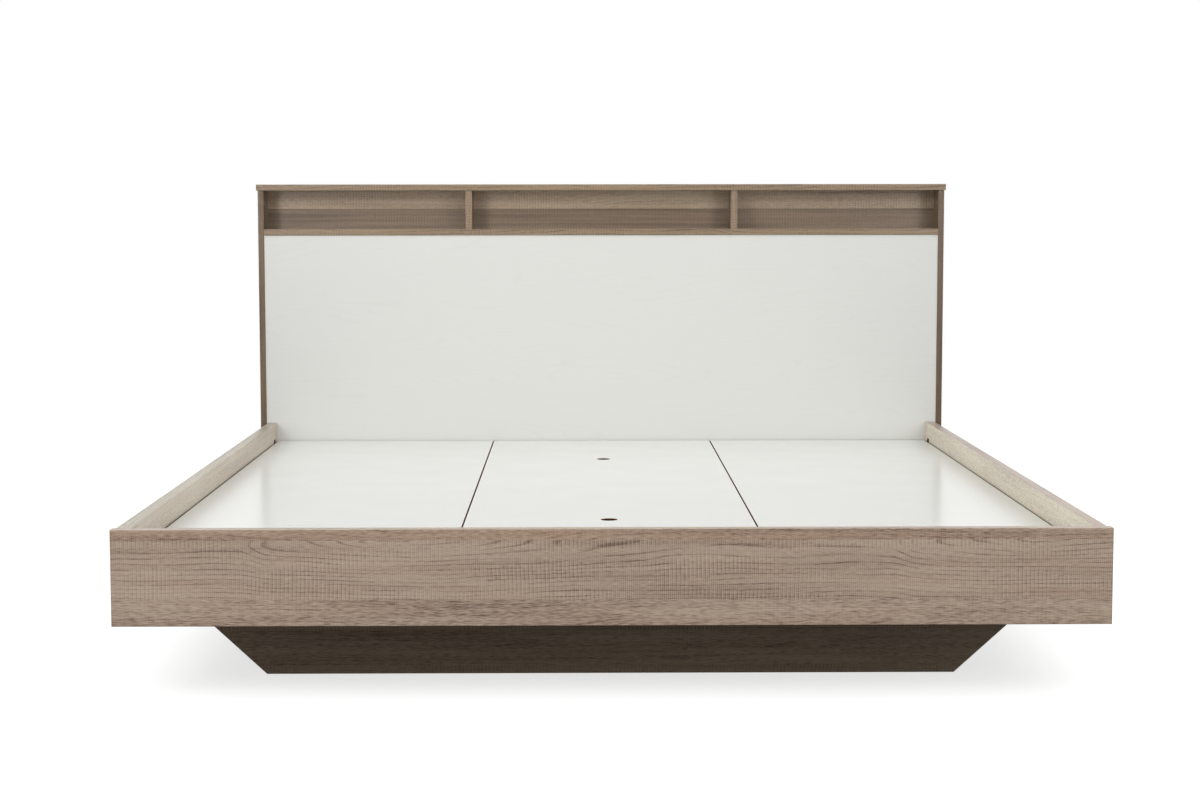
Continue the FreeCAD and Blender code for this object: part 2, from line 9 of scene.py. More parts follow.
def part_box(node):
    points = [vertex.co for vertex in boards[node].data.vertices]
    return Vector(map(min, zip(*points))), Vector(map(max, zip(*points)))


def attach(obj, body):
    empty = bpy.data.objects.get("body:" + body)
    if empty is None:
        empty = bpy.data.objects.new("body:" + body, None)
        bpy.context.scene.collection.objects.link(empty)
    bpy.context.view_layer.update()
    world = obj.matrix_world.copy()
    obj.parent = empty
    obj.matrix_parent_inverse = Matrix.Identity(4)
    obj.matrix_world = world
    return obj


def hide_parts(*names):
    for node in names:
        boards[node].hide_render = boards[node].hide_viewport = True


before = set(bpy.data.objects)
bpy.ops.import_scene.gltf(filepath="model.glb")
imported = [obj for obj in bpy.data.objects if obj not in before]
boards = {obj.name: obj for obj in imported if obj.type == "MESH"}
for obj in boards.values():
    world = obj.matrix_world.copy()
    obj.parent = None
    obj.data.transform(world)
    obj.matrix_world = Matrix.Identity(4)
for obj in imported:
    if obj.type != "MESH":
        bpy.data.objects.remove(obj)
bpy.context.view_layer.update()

# Footboard
# The board across the foot of the bed: 25 mm chipboard in a printed film of sawn oak.
# The film shows planks side by side, some with the marks of the saw across the grain.

X, Y, Z = Vector((1, 0, 0)), Vector((0, 1, 0)), Vector((0, 0, 1))

# The film: how often it repeats, and where the footboard was cut from it
FILM_REPEAT = 1.214
FILM_WIDTH = 0.36
FOOTBOARD_CUT = (0.690, 0.134)
FOOTBOARD_BANDING = (0.91, 0.99, 1.00)
# Each plank: where it starts, then its tone, how strong the saw marks are, its seed and how
# red it is
PLANKS = (
    (0.00, (0.58, 0.10, 0.13, 0.10)),
    (0.14, (0.54, 0.25, 0.31, 0.00)),
    (0.29, (0.64, 1.00, 0.55, 0.00)),
    (0.60, (0.53, 0.30, 0.78, 0.50)),
    (0.68, (0.15, 0.30, 0.44, 0.00)),
    (0.86, (0.66, 0.90, 0.92, 0.00)),
)
SEED_SPAN = 40.0
# The heart opens quickly at its blunt end and closes slowly towards its point
HEART_OPENING = (
    (0.00, 1.0), (0.03, 0.55), (0.12, 0.16), (0.25, 0.0), (0.45, 0.26), (0.62, 0.80), (0.72, 1.0),
)
HEART_LINE = 0.60
HEART_DEPTH = 0.043
HEART_SAWN = 0.95
RING_SPACING = 0.0078
SAW_PITCH = 0.0038
# Sizes of the figure: how long it is along the grain and how wide across it
SWELLS = (0.75, 0.10)
WAVES = (0.24, 0.045)
CLOUDS = (0.50, 0.045)
STREAKS = (0.40, 0.012)
STRANDS = (0.032, 0.0034)
FIBRES = (0.013, 0.0010, 0.0)
PORES = (0.009, 0.0015)
FLUSHES = (0.28, 0.05)
RING_BREAKS = (0.11, 0.016)
SAW_DRIFT = (0.6, 0.12)
SAW_PATCHES = (0.22, 0.05)
# How far swells and waves bend the rings, and how much each part changes the tone
SWELL_BEND = 0.10
WAVE_BEND = 0.016
FIBRE_TONES = (1.1, 0.4)
SAWN_FIBRES = -0.75
RING_TONE = -0.25
HEART_TONE = -0.23
STRAND_TONE = 0.30
PORE_TONE = -0.20
CLOUD_TONE = 0.55
STREAK_TONE = 0.50
SAW_TONE = 0.22
OAK_DARK = (0.150, 0.104, 0.073, 1)
OAK_MIDDLE = (0.383, 0.288, 0.219, 1)
OAK_LIGHT = (0.510, 0.408, 0.315, 1)
RED_TINT = (0.95, 0.84, 0.79, 1)
RED_SHARE = 0.25
OAK_RELIEF = 0.00012
OAK_WEAR = 0.0015
# The chipboard inside, how deep under the film it begins, and how deep in holes a painted shade
# darkens it
CHIP_PALE = (0.34, 0.215, 0.115, 1)
CHIP_DARK = (0.11, 0.060, 0.028, 1)
CHIP_HOLE_SHADE = (0.022, 0.013, 0.008, 1)
FLAKES_PER_METRE = 420.0
GAPS_PER_METRE = 900.0
CORE_DEPTHS = (0.0002, 0.0005)
HOLE_SHADE_DEPTHS = (0.0005, 0.0030)
SEAM_WIDTH = 0.0003
STRIP_THICKNESS = 0.001
EDGE_WEAR = 0.004
RUBS_PER_METRE = 55.0


def place(tree, kind, feeds=None, **settings):
    """Puts a node in a tree and feeds its inputs with values or with other nodes' sockets."""
    made = tree.nodes.new(kind)
    for name, value in settings.items():
        setattr(made, name, value)
    for name, value in (feeds or {}).items():
        if isinstance(value, bpy.types.NodeSocket):
            tree.links.new(value, made.inputs[name])
        else:
            made.inputs[name].default_value = value
    return made


def tree_of(*terms):
    """The tree that the sockets among some terms belong to."""
    return next(term.id_data for term in terms if isinstance(term, bpy.types.NodeSocket))


def calc(operation, *terms):
    """One sum of a pattern, as a math node."""
    feeds = dict(enumerate(terms))
    return place(tree_of(*terms), "ShaderNodeMath", feeds, operation=operation).outputs[0]


plus = partial(calc, "ADD")
minus = partial(calc, "SUBTRACT")
times = partial(calc, "MULTIPLY")
divided = partial(calc, "DIVIDE")
times_plus = partial(calc, "MULTIPLY_ADD")


def varied(base, noise, amount):
    """A base that a noise round 0.5 lowers and raises."""
    return times_plus(minus(noise, 0.5), amount, base)


def steps(value, first, last, smooth=True):
    """Turns the range from first to last into 0 to 1, and stops at both ends."""
    kind = "SMOOTHSTEP" if smooth else "LINEAR"
    feeds = {"Value": value, "From Min": first, "From Max": last}
    return place(tree_of(value), "ShaderNodeMapRange", feeds, interpolation_type=kind).outputs[0]


def blended(amount, first, second, how="MIX"):
    """Two colours mixed by an amount."""
    feeds = {0: amount, 6: first, 7: second}
    tree = tree_of(amount, first, second)
    return place(tree, "ShaderNodeMix", feeds, data_type="RGBA", blend_type=how).outputs[2]


def parts_of(value, kind="XYZ"):
    """The three parts of a vector or of a colour."""
    return place(tree_of(value), "ShaderNodeSeparate" + kind, {0: value}).outputs


def vector_of(x, y, z):
    """A vector from its three parts."""
    feeds = {"X": x, "Y": y, "Z": z}
    return place(tree_of(x, y, z), "ShaderNodeCombineXYZ", feeds).outputs[0]


def specks(vector, density, detail):
    """Even noise with so many specks to the metre."""
    feeds = {"Vector": vector, "Scale": density, "Detail": detail}
    return place(tree_of(vector), "ShaderNodeTexNoise", feeds).outputs[0]


def grains(along, across, seed, length, width, detail=1.0):
    """Noise whose specks are so long along the grain and so wide across it."""
    return specks(vector_of(divided(along, length), divided(across, width), seed), 1.0, detail)


def new_group(name, inputs, outputs):
    """A shader group with named sockets. Gives what comes in and the node where results go."""
    tree = bpy.data.node_groups.new(name, "ShaderNodeTree")
    for way, sockets in (("INPUT", inputs), ("OUTPUT", outputs)):
        for title, value in sockets.items():
            parts = 1 if isinstance(value, float) else len(value)
            kind = "NodeSocket" + {1: "Float", 3: "Vector", 4: "Color"}[parts]
            socket = tree.interface.new_socket(name=title, in_out=way, socket_type=kind)
            socket.default_value = value
    return tree.nodes.new("NodeGroupInput").outputs, tree.nodes.new("NodeGroupOutput")


def deliver(end, **results):
    """Connects results to the sockets that the group puts out, and gives the group."""
    for title, socket in results.items():
        end.id_data.links.new(socket, end.inputs[title])
    return end.id_data


def use(pattern, feeds):
    """Places a shared pattern and feeds it."""
    return place(tree_of(*feeds.values()), "ShaderNodeGroup", feeds, node_tree=pattern).outputs


def make_board_faces():
    """Lays a film on a board's faces, and turns it on the ends, where an edge strip runs."""
    given, end = new_group(
        "board_faces", {"Vector": (0, 0, 0), "Normal": (0, 0, 1)}, {"Film": (0, 0, 0)}
    )
    x, y, z = parts_of(given["Vector"])
    facing = calc("ABSOLUTE", parts_of(given["Normal"])[0])
    on_end = calc("GREATER_THAN", facing, 0.7)
    along = times_plus(on_end, minus(y, x), x)
    across = minus(plus(y, z), times(on_end, y))
    return deliver(end, Film=vector_of(along, across, on_end))


def make_board_edges():
    """Finds a board's edges: where hands and tools wear them, the seam of the edge strip,
    the raw core inside holes and pockets, and a painted shade deeper inside them."""
    inputs = {"Vector": (0, 0, 0), "Half size": (1, 1, 1)}
    inputs.update({"Wear width": EDGE_WEAR, "Strip": STRIP_THICKNESS})
    outputs = {"Wear": 0.0, "Seam": 0.0, "Core": 0.0, "Burnt": 0.0}
    given, end = new_group("board_edges", inputs, outputs)
    inward = []
    for here, half in zip(parts_of(given["Vector"]), parts_of(given["Half size"])):
        inward.append(minus(half, calc("ABSOLUTE", here)))
    least = calc("MINIMUM", calc("MINIMUM", inward[0], inward[1]), inward[2])
    most = calc("MAXIMUM", calc("MAXIMUM", inward[0], inward[1]), inward[2])
    edge = minus(minus(plus(plus(inward[0], inward[1]), inward[2]), least), most)
    rubbed = specks(given["Vector"], RUBS_PER_METRE, 3.0)
    reach = times(given["Wear width"], times(rubbed, 2.0))
    wear = steps(divided(edge, reach), 1.0, 0.1)
    seam = steps(calc("ABSOLUTE", minus(edge, given["Strip"])), SEAM_WIDTH, 0.0)
    # Painted shade: the core darkens with depth inside holes, pockets and joints
    core, hole_shade = steps(least, *CORE_DEPTHS), steps(least, *HOLE_SHADE_DEPTHS)
    return deliver(end, Wear=wear, Seam=seam, Core=core, Burnt=hole_shade)


def make_saw_marks():
    """Fine marks of a frame saw: pale lines across the grain at an even pitch, some stronger."""
    given, end = new_group(
        "saw_marks", {"Along": 0.0, "Across": 0.0, "Pitch": SAW_PITCH}, {"Lines": 0.0}
    )
    drift = grains(given["Along"], given["Across"], 4.0, *SAW_DRIFT)
    stroke = plus(divided(given["Along"], given["Pitch"]), times(drift, 2.0))
    fine = calc("SINE", times(stroke, math.tau))
    coarse = calc("SINE", times(stroke, math.pi))
    feeds = {"W": calc("FLOOR", plus(stroke, 0.25))}
    chance = place(end.id_data, "ShaderNodeTexWhiteNoise", feeds, noise_dimensions="1D").outputs[0]
    patches = grains(given["Along"], given["Across"], 9.0, *SAW_PATCHES)
    both = times_plus(times(coarse, steps(patches, 0.40, 0.66)), 0.9, fine)
    return deliver(end, Lines=times(both, times_plus(chance, 0.4, 0.6)))


def make_growth_rings():
    """Late wood as dark broken lines, one at each step of a field that grows across the board."""
    inputs = {"Field": 0.0, "Spacing": RING_SPACING, "Along": 0.0, "Across": 0.0, "Seed": 0.0}
    given, end = new_group("growth_rings", inputs, {"Rings": 0.0})
    turn = calc("FRACT", divided(given["Field"], given["Spacing"]))
    late = times(steps(turn, 0.64, 0.90), steps(turn, 1.0, 0.92))
    broken = grains(given["Along"], given["Across"], given["Seed"], *RING_BREAKS)
    return deliver(end, Rings=times(late, steps(broken, 0.25, 0.65)))


def shares_ramp(factor, stops, how):
    """A ramp from stops, each a share of the way with its values."""
    ramp = place(tree_of(factor), "ShaderNodeValToRGB", {"Fac": factor})
    ramp.color_ramp.interpolation = how
    stripes = ramp.color_ramp.elements
    while len(stripes) < len(stops):
        stripes.new(1.0)
    for stripe, (share, values) in zip(stripes, stops):
        stripe.position = share
        stripe.color = values
    return ramp.outputs


def make_oak_print():
    """The printed film: planks with their own tone, saw marks and figure, and one heart whose
    rings are cut in half by the plank's edge."""
    given, end = new_group(
        "oak_print", {"Film": (0, 0, 0)}, {"Color": (0, 0, 0, 1), "Height": 0.0}
    )
    along, across, turned_over = parts_of(given["Film"])
    wide = calc("FRACT", divided(across, FILM_WIDTH))
    planks = shares_ramp(wide, PLANKS, "CONSTANT")
    tone, sawn, seed = parts_of(planks[0], "Color")
    seed = plus(times(seed, SEED_SPAN), turned_over)
    figure = partial(grains, along, across, seed)
    long = calc("FRACT", divided(along, FILM_REPEAT))
    opening = [(share, (value,) * 4) for share, value in HEART_OPENING]
    opening = shares_ramp(long, opening, "CARDINAL")[0]
    below = times(minus(wide, HEART_LINE), FILM_WIDTH)
    heart = calc("SQRT", times_plus(below, below, times(opening, HEART_DEPTH**2)))
    plain = times_plus(figure(*SWELLS), SWELL_BEND, across)
    is_heart = calc("GREATER_THAN", sawn, HEART_SAWN)
    field = times_plus(is_heart, minus(heart, plain), plain)
    field = times_plus(figure(*WAVES), WAVE_BEND, field)
    feeds = {"Field": field, "Along": along, "Across": across, "Seed": seed}
    rings = use(growth_rings, feeds)[0]
    lines = times(use(saw_marks, {"Along": along, "Across": across})[0], sawn)
    fibres = figure(*FIBRES)
    pores = steps(figure(*PORES), 0.62, 0.74)
    # The dark plank is finer, and saw marks hide some of the fibres
    fibre_tone = times_plus(steps(tone, 0.20, 0.54), *FIBRE_TONES)
    depth = varied(tone, fibres, times_plus(sawn, SAWN_FIBRES, fibre_tone))
    grain = times(rings, times_plus(is_heart, HEART_TONE, RING_TONE))
    grain = varied(grain, figure(*STRANDS), STRAND_TONE)
    grain = times_plus(pores, PORE_TONE, grain)
    grain = varied(grain, figure(*CLOUDS), CLOUD_TONE)
    depth = times_plus(grain, steps(tone, 0.10, 0.54), depth)
    depth = varied(depth, figure(*STREAKS), STREAK_TONE)
    depth = times_plus(lines, SAW_TONE, depth)
    tones = ((0.0, OAK_DARK), (0.5, OAK_MIDDLE), (1.0, OAK_LIGHT))
    printed = shares_ramp(depth, tones, "LINEAR")[0]
    flush = grains(along, across, plus(seed, 3.0), *FLUSHES)
    redder = times_plus(steps(flush, 0.42, 0.75), RED_SHARE, planks[1])
    color = blended(redder, printed, RED_TINT, "MULTIPLY")
    height = times_plus(lines, 0.25, minus(fibres, pores))
    return deliver(end, Color=color, Height=height)


def make_chipboard():
    """The raw core: pressed flakes of wood in many browns, with small dark gaps. Deeper inside
    holes and pockets it is painted dark, a painted shade."""
    given, end = new_group(
        "chipboard", {"Vector": (0, 0, 0), "Burnt": 0.0}, {"Color": (0, 0, 0, 1), "Height": 0.0}
    )
    feeds = {"Vector": given["Vector"], "Scale": FLAKES_PER_METRE}
    flakes = place(end.id_data, "ShaderNodeTexVoronoi", feeds).outputs["Color"]
    shade = parts_of(flakes, "Color")[0]
    gaps = steps(specks(given["Vector"], GAPS_PER_METRE, 2.0), 0.56, 0.68)
    color = blended(calc("MAXIMUM", gaps, times(shade, 0.6)), CHIP_PALE, CHIP_DARK)
    # Painted shade: darker deeper inside holes and pockets
    color = blended(times(given["Burnt"], 0.9), color, CHIP_HOLE_SHADE)
    return deliver(end, Color=color, Height=minus(shade, gaps))


board_faces = make_board_faces()
board_edges = make_board_edges()
saw_marks = make_saw_marks()
growth_rings = make_growth_rings()
oak_print = make_oak_print()
chipboard = make_chipboard()


def new_material(name):
    """An empty material with its surface shader."""
    material = bpy.data.materials.new(name)
    material.use_nodes = True
    return material, material.node_tree, material.node_tree.nodes["Principled BSDF"]


def finish(shader, color, matt, height, depth):
    """Gives a surface its colour, its roughness and a relief of that depth in metres."""
    tree = shader.id_data
    relief = place(tree, "ShaderNodeBump", {"Height": height, "Distance": depth, "Strength": 1.0})
    tree.links.new(color, shader.inputs["Base Color"])
    tree.links.new(matt, shader.inputs["Roughness"])
    tree.links.new(relief.outputs[0], shader.inputs["Normal"])


def dress(name, material):
    """The CAD piece takes the material."""
    boards[name].data.materials.clear()
    boards[name].data.materials.append(material)


def new_board(kind, name, grain, across, wear_width=EDGE_WEAR, size=None):
    """Dresses a board in a material of its own. Gives its shader, the place and the facing in
    the board's directions (X along the grain, Y across it, Z through it), and its edges."""
    low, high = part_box(name)
    turn = Matrix((grain, across, grain.cross(across)))
    half = Vector(size) / 2 if size else [abs(part) for part in turn @ ((high - low) / 2)]
    material, tree, shader = new_material(kind + name)
    dress(name, material)
    spot = place(tree, "ShaderNodeTexCoord")
    feeds = {"Rotation": turn.to_euler(), "Vector": spot.outputs["Normal"]}
    facing = place(tree, "ShaderNodeMapping", feeds, vector_type="NORMAL").outputs[0]
    feeds.update({"Vector": spot.outputs["Object"], "Location": -(turn @ ((low + high) / 2))})
    laid = place(tree, "ShaderNodeMapping", feeds).outputs[0]
    edges = use(board_edges, {"Vector": laid, "Half size": half, "Wear width": wear_width})
    return shader, laid, facing, edges


def oak_board(name, grain=X, across=Z, film=(0, 0), size=None, batch=(1, 1, 1), banding=None):
    """Dresses a board in sawn-oak film. film says which part of the print it was cut from, and
    batch and banding darken or tint its faces and its edges against the footboard's roll; on
    the headboard and the rails' end blocks this is a painted shade."""
    shader, spot, facing, edges = new_board("sawn_oak_", name, grain, across, OAK_WEAR, size)
    wear, seam, core, hole_shade = edges
    laid = use(board_faces, {"Vector": spot, "Normal": facing})[0]
    feeds = {"Vector": laid, "Location": (*film, 0)}
    oak = use(oak_print, {"Film": place(shader.id_data, "ShaderNodeMapping", feeds).outputs[0]})
    on_edge = calc("LESS_THAN", calc("ABSOLUTE", parts_of(facing)[2]), 0.5)
    roll = blended(on_edge, (*batch, 1), (*(banding or batch), 1))
    printed = blended(1.0, oak["Color"], roll, "MULTIPLY")
    chips = use(chipboard, {"Vector": spot, "Burnt": hole_shade})
    color = blended(times(wear, 0.15), printed, OAK_LIGHT)
    color = blended(times(seam, 0.35), color, OAK_DARK)
    color = blended(core, color, chips["Color"])
    height = blended(core, oak["Height"], chips["Height"])
    matt = times_plus(core, 0.40, times_plus(oak["Height"], -0.05, 0.36))
    finish(shader, color, matt, height, OAK_RELIEF)


oak_board("footboard", film=FOOTBOARD_CUT, banding=FOOTBOARD_BANDING)

# Side rails and their end blocks
# Boards like the footboard's, screwed to it through steel angles. Each rail ends in a short
# block of the same section, through which two bolts pull it to the headboard.

POCKET_SHADE = (0.20, 0.19, 0.18)
# Painted shadow in the gap under the platform's edge: its colour, its share and how fast it fades
# in
GAP_SHADE = (0.030, 0.022, 0.017, 1)
GAP_SHADE_SHARE = 0.85
GAP_SHADE_FADE = 0.0008
INNER_LIMIT = -0.45
# The rolls for the inner faces, painted paler as painted light, and for the edges, against
# the footboard's roll
INNER_LIGHT_ROLLS = {"left": (1.29, 1.46, 1.52), "right": (1.61, 1.90, 1.98)}
EDGE_ROLLS = {"left": (0.84, 0.97, 0.98), "right": (0.82, 0.84, 0.84)}
# How much of the print a painted sheen washes out on the inner faces
PRINT_SHEEN_FADE = 0.40
RAIL_CUTS = {"left": (0.11, 0.02), "right": (0.57, 0.02)}


def paint_inner_light_and_gap_shade(name, side, roll):
    """Paints light on a rail's inner face, a paler film with a fainter print as a painted sheen,
    and a painted shadow: a dark line in the narrow gap where the platform's edge hides it."""
    platform_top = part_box("platform_board_" + side)[1].z
    plain = [shade * part for shade, part in zip(OAK_MIDDLE, INNER_LIGHT_ROLLS[side])]
    tree = boards[name].data.materials[0].node_tree
    shader = tree.nodes["Principled BSDF"]
    coordinates = place(tree, "ShaderNodeTexCoord").outputs
    x, y, z = parts_of(coordinates["Object"])
    inner = calc("LESS_THAN", times(parts_of(coordinates["Normal"])[0], x), INNER_LIMIT)
    printed = shader.inputs["Base Color"].links[0].from_socket
    # Painted light: the inner faces are paler and their print fades, a painted sheen
    painted_light = blended(inner, (1, 1, 1, 1), (*roll, 1))
    printed = blended(1.0, printed, painted_light, "MULTIPLY")
    printed = blended(times(inner, PRINT_SHEEN_FADE), printed, (*plain, 1))
    # Painted shadow: a dark line on the inner face just below the platform's top
    below = steps(z, platform_top, platform_top - GAP_SHADE_FADE)
    gap_shaded = blended(times(times(below, inner), GAP_SHADE_SHARE), printed, GAP_SHADE)
    tree.links.new(gap_shaded, shader.inputs["Base Color"])


for side, film in RAIL_CUTS.items():
    rail, block = "side_rail_" + side, "rail_end_block_" + side
    oak_board(rail, Y, Z, film, banding=EDGE_ROLLS[side])
    oak_board(block, Z, X, film, None, POCKET_SHADE, EDGE_ROLLS[side])
    block_light_roll = [inner / edge for inner, edge in zip(INNER_LIGHT_ROLLS[side], EDGE_ROLLS[side])]
    paint_inner_light_and_gap_shade(rail, side, INNER_LIGHT_ROLLS[side])
    paint_inner_light_and_gap_shade(block, side, block_light_roll)

# Steel brackets in the foot corners
# A strip of zinc-plated steel, bent to a right angle, holds each rail to the footboard. Four
# countersunk screws with a cross recess and a rolled thread fix each one.

ZINC_PLATE = (0.640, 0.640, 0.620, 1)
ZINC_DULL = (0.430, 0.430, 0.425, 1)
ZINC_GLOSS = 0.30
ZINC_PATCH = 0.012
METAL_RUBS = (0.02, 0.0006, 2.0)
METAL_RELIEF = 0.00002
DULL_ROUGHNESS = 0.18
SCREW_LENGTH = 0.018
SCREW_RADIUS = 0.002
SCREW_HEAD = 0.004
SCREW_HEAD_DEPTH = 0.0024
SCREW_TIP = 0.004
SCREW_POINT = 0.0001
SCREW_PITCH = 0.0022
SCREW_THREAD = 0.0006
SCREW_SIDES = 12
SCREW_RINGS = 41
RINGS_PER_TURN = 5
SCREW_CROSS = (0.0042, 0.0009, 0.0016)
SHARP_EDGE = math.radians(35)


def make_metal_skin():
    """Bright plating: cloudy patches where it has dulled, and fine rubs along the piece."""
    given, end = new_group(
        "metal_skin", {"Vector": (0, 0, 0), "Patch": ZINC_PATCH}, {"Dull": 0.0, "Height": 0.0}
    )
    clouds = specks(given["Vector"], divided(1.0, given["Patch"]), 3.0)
    x, y, z = parts_of(given["Vector"])
    rubs = grains(plus(x, y), z, 3.0, *METAL_RUBS)
    return deliver(end, Dull=varied(steps(clouds, 0.35, 0.7), rubs, 0.6), Height=rubs)


metal_skin = make_metal_skin()


def metal(name, bright, dulled, gloss, patch=ZINC_PATCH):
    """Solid metal whose plating is bright in some places and dulled in others."""
    material, tree, shader = new_material(name)
    spot = place(tree, "ShaderNodeTexCoord").outputs["Object"]
    dull, height = use(metal_skin, {"Vector": spot, "Patch": patch})
    shader.inputs["Metallic"].default_value = 1.0
    color = blended(dull, bright, dulled)
    finish(shader, color, times_plus(dull, DULL_ROUGHNESS, gloss), height, METAL_RELIEF)
    return material


def solids_of(name):
    """The separate solids of a CAD group, each as the list of its corners."""
    whole = bmesh.new()
    whole.from_mesh(boards[name].data)
    bmesh.ops.remove_doubles(whole, verts=whole.verts, dist=0.00001)
    reached = set()
    solids = []
    for first in whole.verts:
        solid = [] if first in reached else [first]
        reached.update(solid)
        for corner in solid:
            near = [edge.other_vert(corner) for edge in corner.link_edges]
            solid += [other for other in near if other not in reached]
            reached.update(near)
        if solid:
            solids.append([corner.co.copy() for corner in solid])
    whole.free()
    return solids


def fastener_places(name):
    """Where each fastener of a group starts, which way it points, which way it faces, and its
    length. It starts at its wider end, where its head is. Its axis is the side of its box that
    differs from the other two."""
    places = []
    for corners in solids_of(name):
        low = Vector([min(parts) for parts in zip(*corners)])
        high = Vector([max(parts) for parts in zip(*corners)])
        size = high - low
        axis = min(range(3), key=lambda side: abs(size[side - 1] - size[side - 2]))
        length = size[axis]
        middle = (low + high) / 2
        way = (X, Y, Z)[axis]
        facing = Vector((math.copysign(1, middle.x), 0, 0)) if axis == 2 else Z
        widths = []
        for end in (low, high):
            arms = [spot - middle for spot in corners if abs(spot[axis] - end[axis]) < length * 0.1]
            widths.append(max((arm - way * arm.dot(way)).length for arm in arms))
        even = abs(widths[0] - widths[1]) < 0.0001
        if widths[1] > widths[0] + 0.0001 or (even and axis == 0 and middle.x < 0):
            way = -way
        places.append((middle - way * length / 2, way, facing, length))
    return sorted(places, key=lambda spot: tuple(spot[0]))


def new_fastener(name, shape, **sizes):
    """A tree that makes one fastener with its shape function, which points up from its head,
    and sets it at every point, turned to the point's way and stretched to its length."""
    tree = bpy.data.node_groups.new(name, "GeometryNodeTree")
    new_socket = tree.interface.new_socket
    new_socket(name="Places", in_out="INPUT", socket_type="NodeSocketGeometry")
    for title, value in sizes.items():
        kind = "NodeSocketInt" if isinstance(value, int) else "NodeSocketFloat"
        new_socket(name=title, in_out="INPUT", socket_type=kind).default_value = value
    new_socket(name="Finish", in_out="INPUT", socket_type="NodeSocketMaterial")
    new_socket(name="Fasteners", in_out="OUTPUT", socket_type="NodeSocketGeometry")
    given = tree.nodes.new("NodeGroupInput").outputs
    end = tree.nodes.new("NodeGroupOutput")
    way, facing, stretch = (
        place(tree, "GeometryNodeInputNamedAttribute", {"Name": title}, data_type="FLOAT_VECTOR")
        for title in ("way", "facing", "stretch")
    )
    feeds = {"Primary Axis": way.outputs[0], "Secondary Axis": facing.outputs[0]}
    axes = {"primary_axis": "Z", "secondary_axis": "X"}
    feeds = {
        "Points": given["Places"],
        "Instance": shape(tree, given),
        "Rotation": place(tree, "FunctionNodeAxesToRotation", feeds, **axes).outputs[0],
        "Scale": stretch.outputs[0],
    }
    placed = place(tree, "GeometryNodeInstanceOnPoints", feeds).outputs[0]
    real = place(tree, "GeometryNodeRealizeInstances", {"Geometry": placed}).outputs[0]
    feeds = {"Geometry": real, "Material": given["Finish"]}
    tree.links.new(place(tree, "GeometryNodeSetMaterial", feeds).outputs[0], end.inputs[0])
    return tree


def new_object(name, data):
    """Puts something new in the scene."""
    made = bpy.data.objects.new(name, data)
    bpy.context.scene.collection.objects.link(made)
    return made


def fit(name, tree, material, slot, **sizes):
    """Replaces a CAD group of fasteners with detailed ones in the same places."""
    starts, ways, facings, lengths = zip(*fastener_places(name))
    points = bpy.data.meshes.new("fitted_" + name)
    points.from_pydata(starts, [], [])
    stretches = [(1, 1, length / max(lengths)) for length in lengths]
    for title, vectors in (("way", ways), ("facing", facings), ("stretch", stretches)):
        layer = points.attributes.new(title, "FLOAT_VECTOR", "POINT")
        layer.data.foreach_set("vector", [part for vector in vectors for part in vector])
    piece = new_object("fitted_" + name, points)
    maker = piece.modifiers.new("maker", "NODES")
    maker.node_group = tree
    chosen = {"Length": max(lengths), "Finish": material, **sizes}
    for socket in tree.interface.items_tree:
        if socket.in_out == "INPUT" and socket.name in chosen:
            maker[socket.identifier] = chosen[socket.name]
    ready = piece.evaluated_get(bpy.context.evaluated_depsgraph_get())
    made = bpy.data.meshes.new_from_object(ready)
    piece.modifiers.clear()
    piece.data = made
    made.shade_smooth()
    made.set_sharp_from_angle(angle=SHARP_EDGE)
    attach(piece, "bed_frame")
    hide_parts(name)


def turned(tree, given, sides, rings, radius_at):
    """A round piece from z = 0 to its length. radius_at gives the radius from the sizes given,
    from how far down the piece a point lies and from how far around, in turns."""
    feeds = {"Vertices": sides, "Side Segments": rings, "Radius": 1.0, "Depth": 1.0}
    tube = place(tree, "GeometryNodeMeshCylinder", feeds, fill_type="TRIANGLE_FAN").outputs["Mesh"]
    x, y, z = parts_of(place(tree, "GeometryNodeInputPosition").outputs[0])
    down = times(plus(z, 0.5), given["Length"])
    radius = radius_at(given, down, divided(calc("ARCTAN2", y, x), math.tau))
    spot = vector_of(times(x, radius), times(y, radius), down)
    return place(tree, "GeometryNodeSetPosition", {"Geometry": tube, "Position": spot}).outputs[0]


def threaded(given, down, around, radius, start, pitch, depth):
    """Winds a thread's groove into a radius, from its start to the end of the piece."""
    turn = calc("FRACT", minus(divided(down, pitch), around))
    groove = calc("ABSOLUTE", times_plus(turn, 2.0, -1.0))
    begun = steps(minus(down, start), 0.0, pitch)
    done = steps(down, minus(given["Length"], pitch), given["Length"])
    return minus(radius, times(times(groove, times(begun, minus(1.0, done))), depth))


def chamfered(given, down, around, chamfer):
    """The piece's radius, chamfered at both ends."""
    from_end = calc("MINIMUM", down, minus(given["Length"], down))
    return minus(given["Radius"], calc("MAXIMUM", minus(chamfer, from_end), 0.0))


def carved(tree, body, cutters):
    """The body with the cutters' shapes taken out of it."""
    feeds = {"Mesh 1": body, "Self Intersection": True}
    left = place(tree, "GeometryNodeMeshBoolean", feeds, operation="DIFFERENCE", solver="EXACT")
    for cutter in cutters:
        tree.links.new(cutter, left.inputs["Mesh 2"])
    return left.outputs["Mesh"]


def rod(tree, sides, radius, depth):
    """A plain rod across z = 0, to carve with."""
    feeds = {"Vertices": sides, "Radius": radius, "Depth": depth}
    return place(tree, "GeometryNodeMeshCylinder", feeds, fill_type="NGON").outputs["Mesh"]


def cross_blades(tree, width, blade, depth):
    """The two blades that sink a cross recess into a head at z = 0."""
    sizes = ((width, blade, depth * 2), (blade, width, depth * 2))
    return [place(tree, "GeometryNodeMeshCube", {"Size": size}).outputs["Mesh"] for size in sizes]


